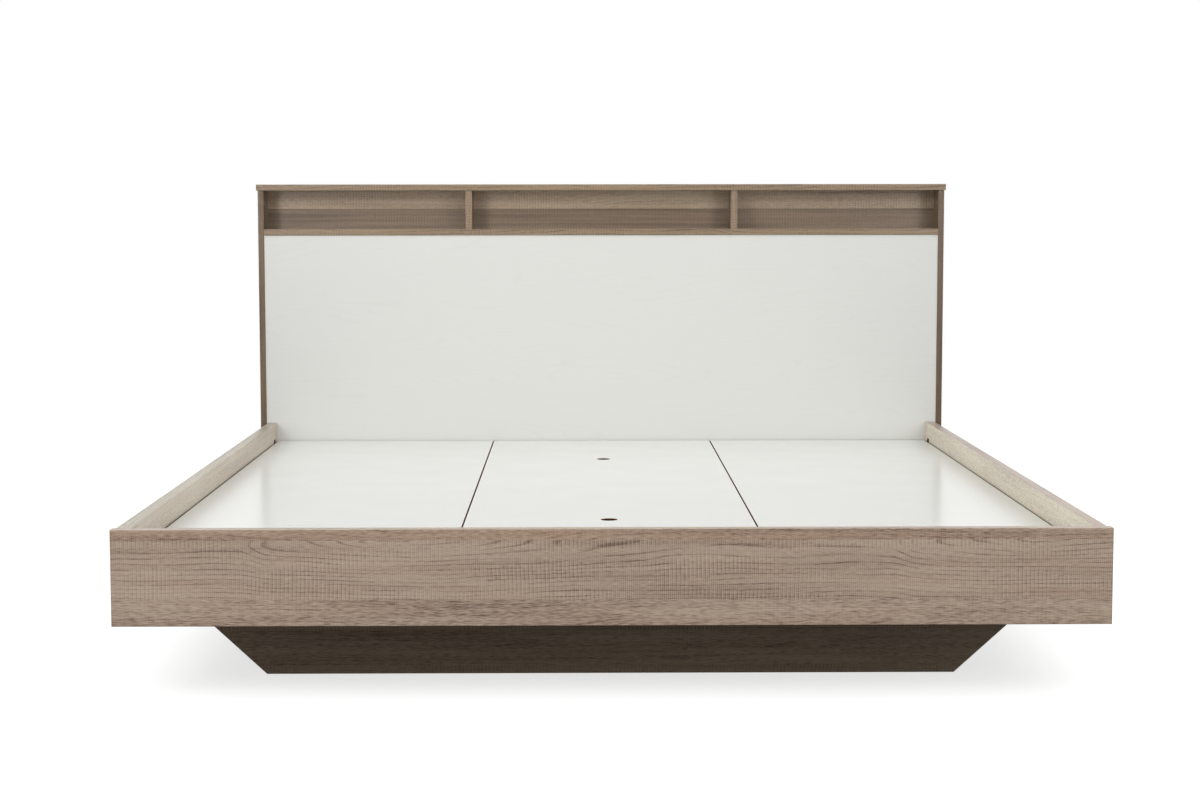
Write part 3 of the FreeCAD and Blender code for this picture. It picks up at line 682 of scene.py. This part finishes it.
def screw_radius(given, down, around):
    """A countersunk wood screw: cone head, threaded shank and a point."""
    fall = (SCREW_HEAD - SCREW_RADIUS) / SCREW_HEAD_DEPTH
    head = times_plus(down, -fall, SCREW_HEAD)
    tip_start = minus(given["Length"], SCREW_TIP)
    left = minus(1.0, steps(down, tip_start, given["Length"], False))
    shank = times_plus(left, SCREW_RADIUS - SCREW_POINT, SCREW_POINT)
    depth = times(shank, SCREW_THREAD / SCREW_RADIUS)
    shank = threaded(given, down, around, shank, SCREW_HEAD_DEPTH, SCREW_PITCH, depth)
    return calc("MAXIMUM", head, shank)


def screw_shape(tree, given):
    """The screw with its cross recess."""
    body = turned(tree, given, SCREW_SIDES, given["Rings"], screw_radius)
    return carved(tree, body, cross_blades(tree, *SCREW_CROSS))


wood_screw = new_fastener("wood_screw", screw_shape, Length=SCREW_LENGTH, Rings=SCREW_RINGS)
plated_steel = metal("zinc_plated_steel", ZINC_PLATE, ZINC_DULL, ZINC_GLOSS)


def fit_screws(name):
    """Fits wood screws in the places of a CAD group."""
    start, way, facing, length = fastener_places(name)[0]
    rings = round(length / SCREW_PITCH * RINGS_PER_TURN)
    fit(name, wood_screw, plated_steel, "steel", Rings=rings)


dress("foot_corner_brackets", plated_steel)
fit_screws("bracket_screws")

# Ledgers
# Strips of planed pine, 25 x 40 mm, screwed to the inside of rails, footboard and headboard.
# The platform's edges lie on them, and screws from below hold its two outer boards.

PINE_EARLY = (0.640, 0.450, 0.250, 1)
PINE_LATE = (0.420, 0.230, 0.095, 1)
PINE_RINGS = 0.0032
PINE_FIBRES = (0.03, 0.0007, 2.0)
PINE_LEAN = 0.03
PINE_LEAN_LENGTH = 0.45
PINE_RELIEF = 0.00015
PINE_WEAR = 0.003
PITH_ASIDE = 0.031
PITH_BELOW = 0.047


def make_pine_figure():
    """Planed pine. Its rings are cylinders round a pith that lies outside the piece, so the
    faces show stripes and the ends show arcs."""
    given, end = new_group(
        "pine_figure", {"Vector": (0, 0, 0), "Seed": 0.0}, {"Color": (0, 0, 0, 1), "Height": 0.0}
    )
    along, across, through = parts_of(given["Vector"])
    lean = specks(vector_of(divided(along, PINE_LEAN_LENGTH), 0.0, given["Seed"]), 1.0, 1.0)
    aside = times_plus(lean, PINE_LEAN, minus(across, PITH_ASIDE))
    below = plus(through, PITH_BELOW)
    field = calc("SQRT", times_plus(aside, aside, times(below, below)))
    feeds = {"Field": field, "Spacing": PINE_RINGS, "Along": along, "Across": across}
    rings = use(growth_rings, {**feeds, "Seed": given["Seed"]})[0]
    fibres = grains(along, plus(across, through), given["Seed"], *PINE_FIBRES)
    color = blended(varied(rings, fibres, 0.5), PINE_EARLY, PINE_LATE)
    return deliver(end, Color=color, Height=fibres)


pine_figure = make_pine_figure()


def pine_piece(name, grain, across, seed):
    """Dresses a piece of planed pine. Its edges have dried a little darker."""
    shader, spot, facing, edges = new_board("planed_pine_", name, grain, across, PINE_WEAR)
    color, height = use(pine_figure, {"Vector": spot, "Seed": seed})
    color = blended(times(edges["Wear"], 0.25), color, PINE_LATE)
    finish(shader, color, times_plus(height, 0.12, 0.52), height, PINE_RELIEF)


ledgers = {"foot_ledger": X, "head_ledger": X, "side_ledger_left": Y, "side_ledger_right": Y}
for number, (name, grain) in enumerate(ledgers.items()):
    pine_piece(name, grain, Z, 1.0 + 4 * number)
fit_screws("ledger_screws")
fit_screws("platform_screws")

# Soffit boards
# Chipboard in a plain grey-beige film, with sawn edges left raw. They close the frame from
# below and tie the plinth to rails and footboard by fluted beech dowels and by four screws.

PLAIN_FILM = (0.560, 0.530, 0.480, 1)
PLAIN_SHADE = (0.500, 0.470, 0.420, 1)
PLAIN_GLOSS = 0.5
PLAIN_RELIEF = 0.00003
PLAIN_EDGE = (0.5, (1, 1, 1))
RELIEF_SWELLS = (0.9, 0.12)
RELIEF_WAVES = (0.2, 0.04)
RELIEF_FIBRES = (0.05, 0.0022, 2.0)
RELIEF_RINGS = 0.011
RELIEF_SWELL_BEND = 0.22
RELIEF_WAVE_BEND = 0.02
SMUDGES_PER_METRE = 6.0
BEECH_PALE = (0.640, 0.440, 0.270, 1)
BEECH_DARK = (0.440, 0.265, 0.140, 1)
BEECH_RELIEF = 0.00008
BEECH_DRAWN = 0.12
FLECKS_PER_METRE = 2200.0
DOWEL_LENGTH = 0.030
DOWEL_RADIUS = 0.004
DOWEL_CHAMFER = 0.0012
DOWEL_FLUTE = 0.0004
DOWEL_FLUTES = 12
DOWEL_RINGS = 24


def make_grain_relief():
    """A relief of oak grain pressed in plain film: rings, fibres and short pores."""
    given, end = new_group(
        "grain_relief", {"Film": (0, 0, 0), "Spacing": RELIEF_RINGS}, {"Relief": 0.0}
    )
    along, across, seed = parts_of(given["Film"])
    figure = partial(grains, along, across, seed)
    field = times_plus(figure(*RELIEF_SWELLS), RELIEF_SWELL_BEND, across)
    field = times_plus(figure(*RELIEF_WAVES), RELIEF_WAVE_BEND, field)
    feeds = {"Field": field, "Spacing": given["Spacing"], "Along": along, "Across": across}
    rings = use(growth_rings, feeds)[0]
    return deliver(end, Relief=minus(times(figure(*RELIEF_FIBRES), 0.6), rings))


grain_relief = make_grain_relief()


def film_board(name, light, shade, gloss, depth, grain=X, across=Z, shine=0.5, edge=PLAIN_EDGE):
    """Dresses a board in a film of one colour, with raw chipboard on its edges. edge says how
    level the arris still has film, and a colour that darkens the raw edges, a painted shade."""
    bare_below, edge_shade = edge
    shader, spot, facing, edges = new_board("film_", name, grain, across)
    wear, seam, core, hole_shade = edges
    relief = use(grain_relief, {"Film": spot})[0]
    chips = use(chipboard, {"Vector": spot, "Burnt": hole_shade})
    through = calc("ABSOLUTE", parts_of(facing)[2])
    raw = calc("MAXIMUM", core, calc("LESS_THAN", through, bare_below))
    color = blended(steps(relief, -0.6, 0.5), shade, light)
    color = blended(times(wear, 0.12), color, shade)
    # Painted shade: the raw edges are multiplied by the edge colour, dark on the platform's joints
    color = blended(raw, color, blended(1.0, chips["Color"], (*edge_shade, 1), "MULTIPLY"))
    matt = times_plus(specks(spot, SMUDGES_PER_METRE, 3.0), 0.06, gloss - 0.03)
    matt = times_plus(raw, 0.5, times_plus(relief, -0.02, matt))
    shader.inputs["Specular IOR Level"].default_value = shine
    finish(shader, color, matt, blended(raw, relief, chips["Height"]), depth)


def plain_board(name, grain=X, across=Y):
    """Dresses an inner board in the plain film."""
    film_board(name, PLAIN_FILM, PLAIN_SHADE, PLAIN_GLOSS, PLAIN_RELIEF, grain, across)


def beech():
    """Turned beech: pale, with short dark flecks along each dowel's own way."""
    material, tree, shader = new_material("turned_beech")

    def vectors(operation, feeds):
        return place(tree, "ShaderNodeVectorMath", feeds, operation=operation).outputs

    spot = place(tree, "ShaderNodeTexCoord").outputs["Object"]
    way = place(tree, "ShaderNodeAttribute", attribute_name="way").outputs["Vector"]
    along = vectors("DOT_PRODUCT", {0: spot, 1: way})["Value"]
    back = vectors("SCALE", {0: way, "Scale": along})[0]
    aside = vectors("SUBTRACT", {0: spot, 1: back})[0]
    slow = vectors("SCALE", {0: back, "Scale": BEECH_DRAWN})[0]
    flecks = specks(vectors("ADD", {0: aside, 1: slow})[0], FLECKS_PER_METRE, 2.0)
    color = blended(steps(flecks, 0.52, 0.70), BEECH_PALE, BEECH_DARK)
    finish(shader, color, times_plus(flecks, 0.2, 0.45), flecks, BEECH_RELIEF)
    return material


def dowel_radius(given, down, around):
    """A dowel with fluted sides and chamfered ends."""
    wave = calc("COSINE", times(around, math.tau * DOWEL_FLUTES))
    flute = times(times_plus(wave, 0.5, 0.5), DOWEL_FLUTE)
    return minus(chamfered(given, down, around, given["Chamfer"]), flute)


dowel_shape = partial(turned, sides=DOWEL_FLUTES * 2, rings=DOWEL_RINGS, radius_at=dowel_radius)
dowel_sizes = {"Length": DOWEL_LENGTH, "Radius": DOWEL_RADIUS, "Chamfer": DOWEL_CHAMFER}
fluted_dowel = new_fastener("fluted_dowel", dowel_shape, **dowel_sizes)
turned_beech = beech()

for position in ("left", "right", "foot", "head"):
    plain_board("soffit_board_" + position)
fit("soffit_dowels", fluted_dowel, turned_beech, "beech")
fit_screws("soffit_screws")

# Plinth
# Four oak boards on edge, mitred at the corners, that lean in towards the floor. They stand
# far back under the frame, so that the bed seems to float. Pine blocks are glued in the corners.

PLINTH_LEAN = math.radians(38)
PLINTH_THICKNESS = 0.018
PLINTH_BATCH = (0.95, 0.95, 0.90)
# Each board: its grain, the level way in which its top leans, and its cut of the film
PLINTH_BOARDS = {
    "front": (X, -Y, 0.85),
    "back": (X, Y, 0.31),
    "side_left": (Y, -X, 0.70),
    "side_right": (Y, X, 0.40),
}
PLINTH_CUT = 0.05

for position, (grain, lean_out, start) in PLINTH_BOARDS.items():
    low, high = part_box("plinth_" + position)
    up_slope = math.sin(PLINTH_LEAN) * lean_out + math.cos(PLINTH_LEAN) * Z
    width = (high.z - low.z) / math.cos(PLINTH_LEAN)
    size = ((high - low).dot(grain), width, PLINTH_THICKNESS)
    oak_board("plinth_" + position, grain, up_slope, (start, PLINTH_CUT), size, PLINTH_BATCH)
for number, corner in enumerate(("front_left", "front_right", "back_left", "back_right")):
    pine_piece("plinth_corner_block_" + corner, Z, X, 20.0 + number)

# Storage bay
# Under the middle platform board, inside the plinth: a floor on two pine battens, two
# partitions that also carry the platform's joints, and two end boards on beech dowels.

for side in ("left", "right"):
    pine_piece("floor_batten_" + side, Y, X, 31.0)
    plain_board("storage_partition_" + side, Y, Z)
for end in ("foot", "head"):
    plain_board("storage_end_board_" + end, X, Z)
plain_board("storage_floor")
fit("storage_bay_dowels", fluted_dowel, turned_beech, "beech")

# Headboard case
# Two sides that stand on the floor, a top board, the shelf under the niche, two dividers, the
# niche's back and a bottom rail, all in the same oak film. Die-cast cams, pins and beech
# dowels join them.

# Cuts of the film, for the upright boards only where they start along it
HEAD_CUTS = {"top": (0.2, 0.12), "shelf": (0.9, 0.12), "bottom_rail": (0.05, 0.13)}
UPRIGHT_CUTS = {"left": 0.15, "right": 0.66}
SIDE_CUT, DIVIDER_CUT = 0.335, 0.20
NICHE_CUT = (0.52, 0.2996)
# Painted shade: the headboard's boards and the sides' front edges are printed darker than the
# footboard for the dimmer light on them, the right side's edge darker still
HEAD_SHADE_BATCH = (0.615, 0.575, 0.490)
SIDE_SHADE_BANDINGS = {"left": (0.62, 0.57, 0.47), "right": (0.54, 0.50, 0.42)}
NICHE_BATCH = (0.98, 0.97, 0.90)
CAST_BRIGHT = (0.560, 0.560, 0.550, 1)
CAST_DULL = (0.330, 0.330, 0.325, 1)
CAST_GLOSS = 0.38
CAST_PATCH = 0.005
CAM_RADIUS = 0.0075
CAM_DEPTH = 0.012
CAM_WINDOW = 0.0037
CAM_WINDOW_SHARE = 0.66
CAM_CHAMFER = 0.0004
CAM_CROSS = (0.009, 0.0018, 0.0026)
PIN_RADIUS = 0.0035
PIN_LENGTH = 0.0374
# A thread: the share of the length where it starts, its pitch and its depth
PIN_THREAD = (0.71, 0.0018, 0.0006)
# The pin from its ball head to its thread: shares of its length and of its radius
PIN_SHARES = (
    (0.00, 0.85), (0.01, 1.00), (0.07, 1.00), (0.08, 0.55), (0.20, 0.55), (0.23, 0.86),
    (0.66, 0.86), (0.67, 1.00), (0.70, 1.00), (0.71, 0.70), (0.97, 0.70), (1.00, 0.30),
)


def profiled(tree, given, sides, rings, shares, thread=None):
    """A round piece whose radius follows a profile, in shares of the length and of the radius,
    with a thread or without."""

    def radius_at(given, down, around):
        curve = place(tree, "ShaderNodeFloatCurve", {"Value": divided(down, given["Length"])})
        line = curve.mapping.curves[0]
        line.points[0].location = shares[0]
        line.points[1].location = shares[-1]
        for share in shares[1:-1]:
            line.points.new(*share)
        for point in line.points:
            point.handle_type = "VECTOR"
        curve.mapping.update()
        radius = times(curve.outputs[0], given["Radius"])
        if not thread:
            return radius
        share, pitch, depth = thread
        return threaded(given, down, around, radius, times(given["Length"], share), pitch, depth)

    return turned(tree, given, sides, rings, radius_at)


def cam_shape(tree, given):
    """A cam: a disc with a cross recess in its rim face and a window for the pin's head."""
    disc = turned(tree, given, 32, 24, partial(chamfered, chamfer=CAM_CHAMFER))
    feeds = {
        "Geometry": rod(tree, 16, CAM_WINDOW, CAM_RADIUS * 2),
        "Translation": (CAM_RADIUS, 0.0, CAM_DEPTH * CAM_WINDOW_SHARE),
        "Rotation": (0.0, math.radians(90), 0.0),
    }
    window = place(tree, "GeometryNodeTransform", feeds).outputs[0]
    return carved(tree, disc, cross_blades(tree, *CAM_CROSS) + [window])


cam_disc = new_fastener("cam_disc", cam_shape, Length=CAM_DEPTH, Radius=CAM_RADIUS)
pin_shape = partial(profiled, sides=16, rings=100, shares=PIN_SHARES, thread=PIN_THREAD)
cam_pin = new_fastener("cam_pin", pin_shape, Length=PIN_LENGTH, Radius=PIN_RADIUS)
cast_zinc = metal("die_cast_zinc", CAST_BRIGHT, CAST_DULL, CAST_GLOSS, CAST_PATCH)

for part, film in HEAD_CUTS.items():
    oak_board("headboard_" + part, film=film, batch=HEAD_SHADE_BATCH)
oak_board("niche_back_panel", film=NICHE_CUT, batch=NICHE_BATCH)
for side, start in UPRIGHT_CUTS.items():
    banding = SIDE_SHADE_BANDINGS[side]
    oak_board("headboard_side_" + side, Z, Y, (start, SIDE_CUT), None, HEAD_SHADE_BATCH, banding)
    oak_board("niche_divider_" + side, Z, Y, (start, DIVIDER_CUT), batch=HEAD_SHADE_BATCH)
fit("cam_locks", cam_disc, cast_zinc, "zinc")
fit("cam_bolts", cam_pin, cast_zinc, "zinc")
fit("headboard_dowels", fluted_dowel, turned_beech, "beech")

# Headboard panels
# The front panel is covered in white film with a light relief of oak grain. Behind it stand
# two uprights, and the back is closed by hardboard with small screws all round.

WHITE = (0.645, 0.648, 0.623, 1)
WHITE_SHADE = (0.630, 0.633, 0.608, 1)
WHITE_GLOSS = 0.42
WHITE_RELIEF = 0.00004
HARDBOARD = (0.250, 0.142, 0.070, 1)
HARDBOARD_DARK = (0.125, 0.066, 0.032, 1)
HARDBOARD_RELIEF = 0.0001
FELT_PER_METRE = 260.0
CLOUDS_PER_METRE = 7.0
SCREEN_PITCH = 0.0016


def hardboard(name):
    """Dresses a hardboard panel: felted brown fibres, with the press screen's mark behind."""
    material, tree, shader = new_material("hardboard_" + name)
    coordinates = place(tree, "ShaderNodeTexCoord").outputs
    spot = coordinates["Object"]
    x, y, z = parts_of(spot)
    felt = specks(spot, FELT_PER_METRE, 4.0)
    across, upward = (calc("SINE", times(here, math.tau / SCREEN_PITCH)) for here in (x, z))
    behind = calc("GREATER_THAN", parts_of(coordinates["Normal"])[1], 0.5)
    screen = times(times(across, upward), behind)
    depth = times_plus(screen, 0.25, steps(felt, 0.3, 0.7))
    depth = varied(depth, specks(spot, CLOUDS_PER_METRE, 2.0), 0.8)
    color = blended(depth, HARDBOARD_DARK, HARDBOARD)
    finish(shader, color, times_plus(behind, 0.35, 0.4), plus(screen, felt), HARDBOARD_RELIEF)
    dress(name, material)


film_board("headboard_front_panel", WHITE, WHITE_SHADE, WHITE_GLOSS, WHITE_RELIEF)
for side in ("left", "right"):
    plain_board("headboard_upright_" + side, Z, Y)
hardboard("headboard_back_panel")
fit_screws("back_panel_screws")

# Glides
# Domed plastic discs on nails, driven into the lower ends of the headboard's sides.

GLIDE_DARK = (0.060, 0.060, 0.062, 1)
GLIDE_SCUFFED = (0.150, 0.150, 0.150, 1)
GLIDE_RELIEF = 0.00004
SCUFF_HEIGHT = 0.0015
SCUFFS_PER_METRE = 500.0
GLIDE_LENGTH = 0.016
GLIDE_RADIUS = 0.009
# The domed disc and its nail
GLIDE_SHARES = (
    (0.00, 0.80), (0.04, 0.93), (0.10, 1.00), (0.23, 1.00), (0.26, 0.22), (0.90, 0.22),
    (1.00, 0.04),
)


def moulded_plastic():
    """Dark moulded plastic, scuffed pale in spots where it has slid on the floor."""
    material, tree, shader = new_material("moulded_plastic")
    spot = place(tree, "ShaderNodeTexCoord").outputs["Object"]
    low_down = steps(parts_of(spot)[2], SCUFF_HEIGHT, 0.0)
    scuffs = specks(spot, SCUFFS_PER_METRE, 3.0)
    rubbed = times(low_down, steps(scuffs, 0.45, 0.65))
    color = blended(rubbed, GLIDE_DARK, GLIDE_SCUFFED)
    finish(shader, color, times_plus(rubbed, 0.25, 0.42), scuffs, GLIDE_RELIEF)
    return material


glide_shape = partial(profiled, sides=32, rings=48, shares=GLIDE_SHARES)
nail_glide = new_fastener("nail_glide", glide_shape, Length=GLIDE_LENGTH, Radius=GLIDE_RADIUS)
fit("headboard_glides", nail_glide, moulded_plastic(), "glide_plastic")

# Rail bolts and tee nuts
# Two bolts with a hexagon socket pull each rail's end block to the headboard. They screw into
# tee nuts, which are pressed into the back of the front panel by four prongs.

BOLT_LENGTH = 0.0628
BOLT_HEAD = 0.0065
BOLT_THREAD = (0.55, 0.00125, 0.0006)
BOLT_SHARES = (
    (0.00, 0.92), (0.01, 1.00), (0.078, 1.00), (0.082, 0.615), (0.985, 0.615), (1.00, 0.50),
)
SOCKET_RADIUS = 0.0029
SOCKET_DEPTH = 0.003
NUT_LENGTH = 0.0108
NUT_FLANGE = 0.010
NUT_BORE = 0.0041
NUT_SHARES = ((0.00, 0.98), (0.03, 1.00), (0.15, 1.00), (0.18, 0.52), (1.00, 0.52))
PRONG_REACH = 0.0083
PRONG_LENGTH = 0.0065
PRONG_WIDTH = 0.0012
PRONG_START = 0.001


def bolt_shape(tree, given):
    """A bolt with a round head, a hexagon socket and a machine thread."""
    body = profiled(tree, given, 16, 220, BOLT_SHARES, BOLT_THREAD)
    return carved(tree, body, [rod(tree, 6, SOCKET_RADIUS, SOCKET_DEPTH * 2)])


def nut_shape(tree, given):
    """A tee nut: flange, bored barrel and four prongs."""
    body = profiled(tree, given, 32, 30, NUT_SHARES)
    bored = carved(tree, body, [rod(tree, 24, NUT_BORE, NUT_LENGTH * 3)])
    whole = place(tree, "GeometryNodeJoinGeometry", {0: bored})
    feeds = {"Vertices": 4, "Radius Top": 0.0, "Radius Bottom": PRONG_WIDTH, "Depth": PRONG_LENGTH}
    prong = place(tree, "GeometryNodeMeshCone", feeds, fill_type="NGON").outputs["Mesh"]
    for quarter in range(4):
        angle = math.radians(45 + 90 * quarter)
        spot = (PRONG_REACH * math.cos(angle), PRONG_REACH * math.sin(angle), PRONG_START)
        moved = place(tree, "GeometryNodeTransform", {"Geometry": prong, "Translation": spot})
        tree.links.new(moved.outputs[0], whole.inputs[0])
    return whole.outputs[0]


socket_bolt = new_fastener("socket_bolt", bolt_shape, Length=BOLT_LENGTH, Radius=BOLT_HEAD)
tee_nut = new_fastener("tee_nut", nut_shape, Length=NUT_LENGTH, Radius=NUT_FLANGE)
fit("rail_bolts", socket_bolt, plated_steel, "steel")
fit("rail_tee_nuts", tee_nut, plated_steel, "steel")

# Platform boards
# Three boards of white film on chipboard carry the mattress. Their sawn edges show the raw
# chipboard at the joints, painted darker there as painted shade. The middle one lifts out by
# its two finger holes.

PLATFORM_WHITE = (0.610, 0.614, 0.588, 1)
PLATFORM_SHADE = (0.595, 0.600, 0.573, 1)
PLATFORM_GLOSS = 0.20
PLATFORM_RELIEF = 0.00001
PLATFORM_SHINE = 0.2
# The arris is mostly raw and the raw edges darkened: painted shade for the joints between boards
PLATFORM_EDGE_SHADE = (0.9, (0.52, 0.24, 0.05))

film = (PLATFORM_WHITE, PLATFORM_SHADE, PLATFORM_GLOSS, PLATFORM_RELIEF)
for side in ("left", "middle", "right"):
    film_board("platform_board_" + side, *film, X, Y, PLATFORM_SHINE, PLATFORM_EDGE_SHADE)

# Floor, lamps and camera
# A pale floor under a plain white surround. Two softboxes stand left and right of the foot,
# high enough that the frame keeps their light off the plinth. Three weak ones with grids fill
# in: one hangs over the platform's head end, and two behind the softboxes shine into the niche.

FLOOR_SIZE = 40.0
FLOOR_PALE = (0.85, 0.85, 0.84, 1)
FLOOR_DULL = (0.12, 0.12, 0.12, 1)
FLOOR_ROUGHNESS = 0.9
FLOOR_SHINE = 0.1
FLOOR_GLOW = 1.36
GLOW_SHARE = 0.5
FADE_START = 1.6
FADE_END = 4.5
SURROUND = 1.22
SURROUND_LOW = 0.06
SURROUND_SIDES = 0.46
SURROUND_RISE = 0.35
# Each lamp: where it hangs, what it points at, its width, its power and its spread in degrees
LAMPS = {
    "lamp_left": ((-2.6, -3.4, 2.3), (0, 0, 0.4), 1.5, 45, 180),
    "lamp_right": ((2.8, -3.3, 2.3), (0, 0, 0.4), 2.0, 35, 180),
    "lamp_over": ((0, 0.5, 2.9), (0, 0.8, 0.3), 1.2, 2.2, 60),
    "beam_left": ((-3.4, -4.6, 1.1), (-0.8, 1.0, 1.35), 0.8, 1.3, 22),
    "beam_right": ((3.6, -4.4, 1.1), (0.8, 1.0, 1.35), 1.2, 1.3, 22),
}
CAMERA_PLACE = Vector((-0.0607, -5.0766, 0.9213))
CAMERA_YAW = -0.0093
CAMERA_PITCH = 0.0881
CAMERA_ROLL = -0.001
FOCAL_SHARE = 2180.1 / 1200


def make_floor():
    """The floor: a dull grey for the light, and pale to the eye, fading to white far away."""
    mesh = bpy.data.meshes.new("floor")
    reach = FLOOR_SIZE / 2
    corners = [(-reach, -reach, 0), (reach, -reach, 0), (reach, reach, 0), (-reach, reach, 0)]
    mesh.from_pydata(corners, [], [(0, 1, 2, 3)])
    material, tree, shader = new_material("floor_paint")
    seen = place(tree, "ShaderNodeLightPath").outputs["Is Camera Ray"]
    tree.links.new(blended(seen, FLOOR_DULL, FLOOR_PALE), shader.inputs["Base Color"])
    shader.inputs["Roughness"].default_value = FLOOR_ROUGHNESS
    shader.inputs["Specular IOR Level"].default_value = FLOOR_SHINE
    spot = place(tree, "ShaderNodeTexCoord").outputs["Object"]
    away = place(tree, "ShaderNodeVectorMath", {0: spot}, operation="LENGTH").outputs["Value"]
    far = steps(away, FADE_START, FADE_END)
    glow = times_plus(far, 1.0 - FLOOR_GLOW, FLOOR_GLOW)
    white = place(tree, "ShaderNodeEmission", {"Color": (1, 1, 1, 1), "Strength": glow})
    share = times(times_plus(far, 1.0 - GLOW_SHARE, GLOW_SHARE), seen)
    feeds = {0: share, 1: shader.outputs[0], 2: white.outputs[0]}
    mixed = place(tree, "ShaderNodeMixShader", feeds).outputs[0]
    tree.links.new(mixed, tree.nodes["Material Output"].inputs["Surface"])
    mesh.materials.append(material)
    new_object("floor", mesh)


def make_surround():
    """White to the eye and in gloss. For the rest a plain soft light, weaker near the ground."""
    world = bpy.data.worlds.new("surround")
    world.use_nodes = True
    tree = world.node_tree
    path = place(tree, "ShaderNodeLightPath").outputs
    seen = calc("MAXIMUM", path["Is Camera Ray"], path["Is Glossy Ray"])
    seen = calc("MAXIMUM", seen, path["Is Transmission Ray"])
    aside, front, height = parts_of(place(tree, "ShaderNodeTexCoord").outputs["Generated"])
    low = times_plus(times(aside, aside), SURROUND_SIDES, SURROUND_LOW)
    soft = times_plus(steps(height, 0.0, SURROUND_RISE), minus(SURROUND, low), low)
    light = tree.nodes["Background"]
    light.inputs["Color"].default_value = (1, 1, 1, 1)
    tree.links.new(times_plus(seen, minus(1.0, soft), soft), light.inputs["Strength"])
    bpy.context.scene.world = world


def hang_lamp(name, spot, target, width, power, spread):
    """A square softbox that points at a target. A grid in front of it can narrow its spread."""
    data = bpy.data.lights.new(name, "AREA")
    data.energy = power
    data.size = width
    data.spread = math.radians(spread)
    lamp = new_object(name, data)
    lamp.location = spot
    lamp.rotation_euler = (Vector(target) - Vector(spot)).to_track_quat("-Z", "Y").to_euler()


def stand_camera():
    """The camera, where the photograph was taken."""
    data = bpy.data.cameras.new("camera")
    data.sensor_fit = "HORIZONTAL"
    data.lens = FOCAL_SHARE * data.sensor_width
    data.clip_end = FLOOR_SIZE * 2
    camera = new_object("camera", data)
    turn = Matrix.Rotation(CAMERA_YAW, 4, "Z") @ Matrix.Rotation(math.pi / 2 - CAMERA_PITCH, 4, "X")
    turn = turn @ Matrix.Rotation(CAMERA_ROLL, 4, "Z")
    camera.matrix_world = Matrix.Translation(CAMERA_PLACE) @ turn
    bpy.context.scene.camera = camera


make_floor()
make_surround()
for name, settings in LAMPS.items():
    hang_lamp(name, *settings)
stand_camera()
bpy.context.scene.view_settings.view_transform = "Standard"
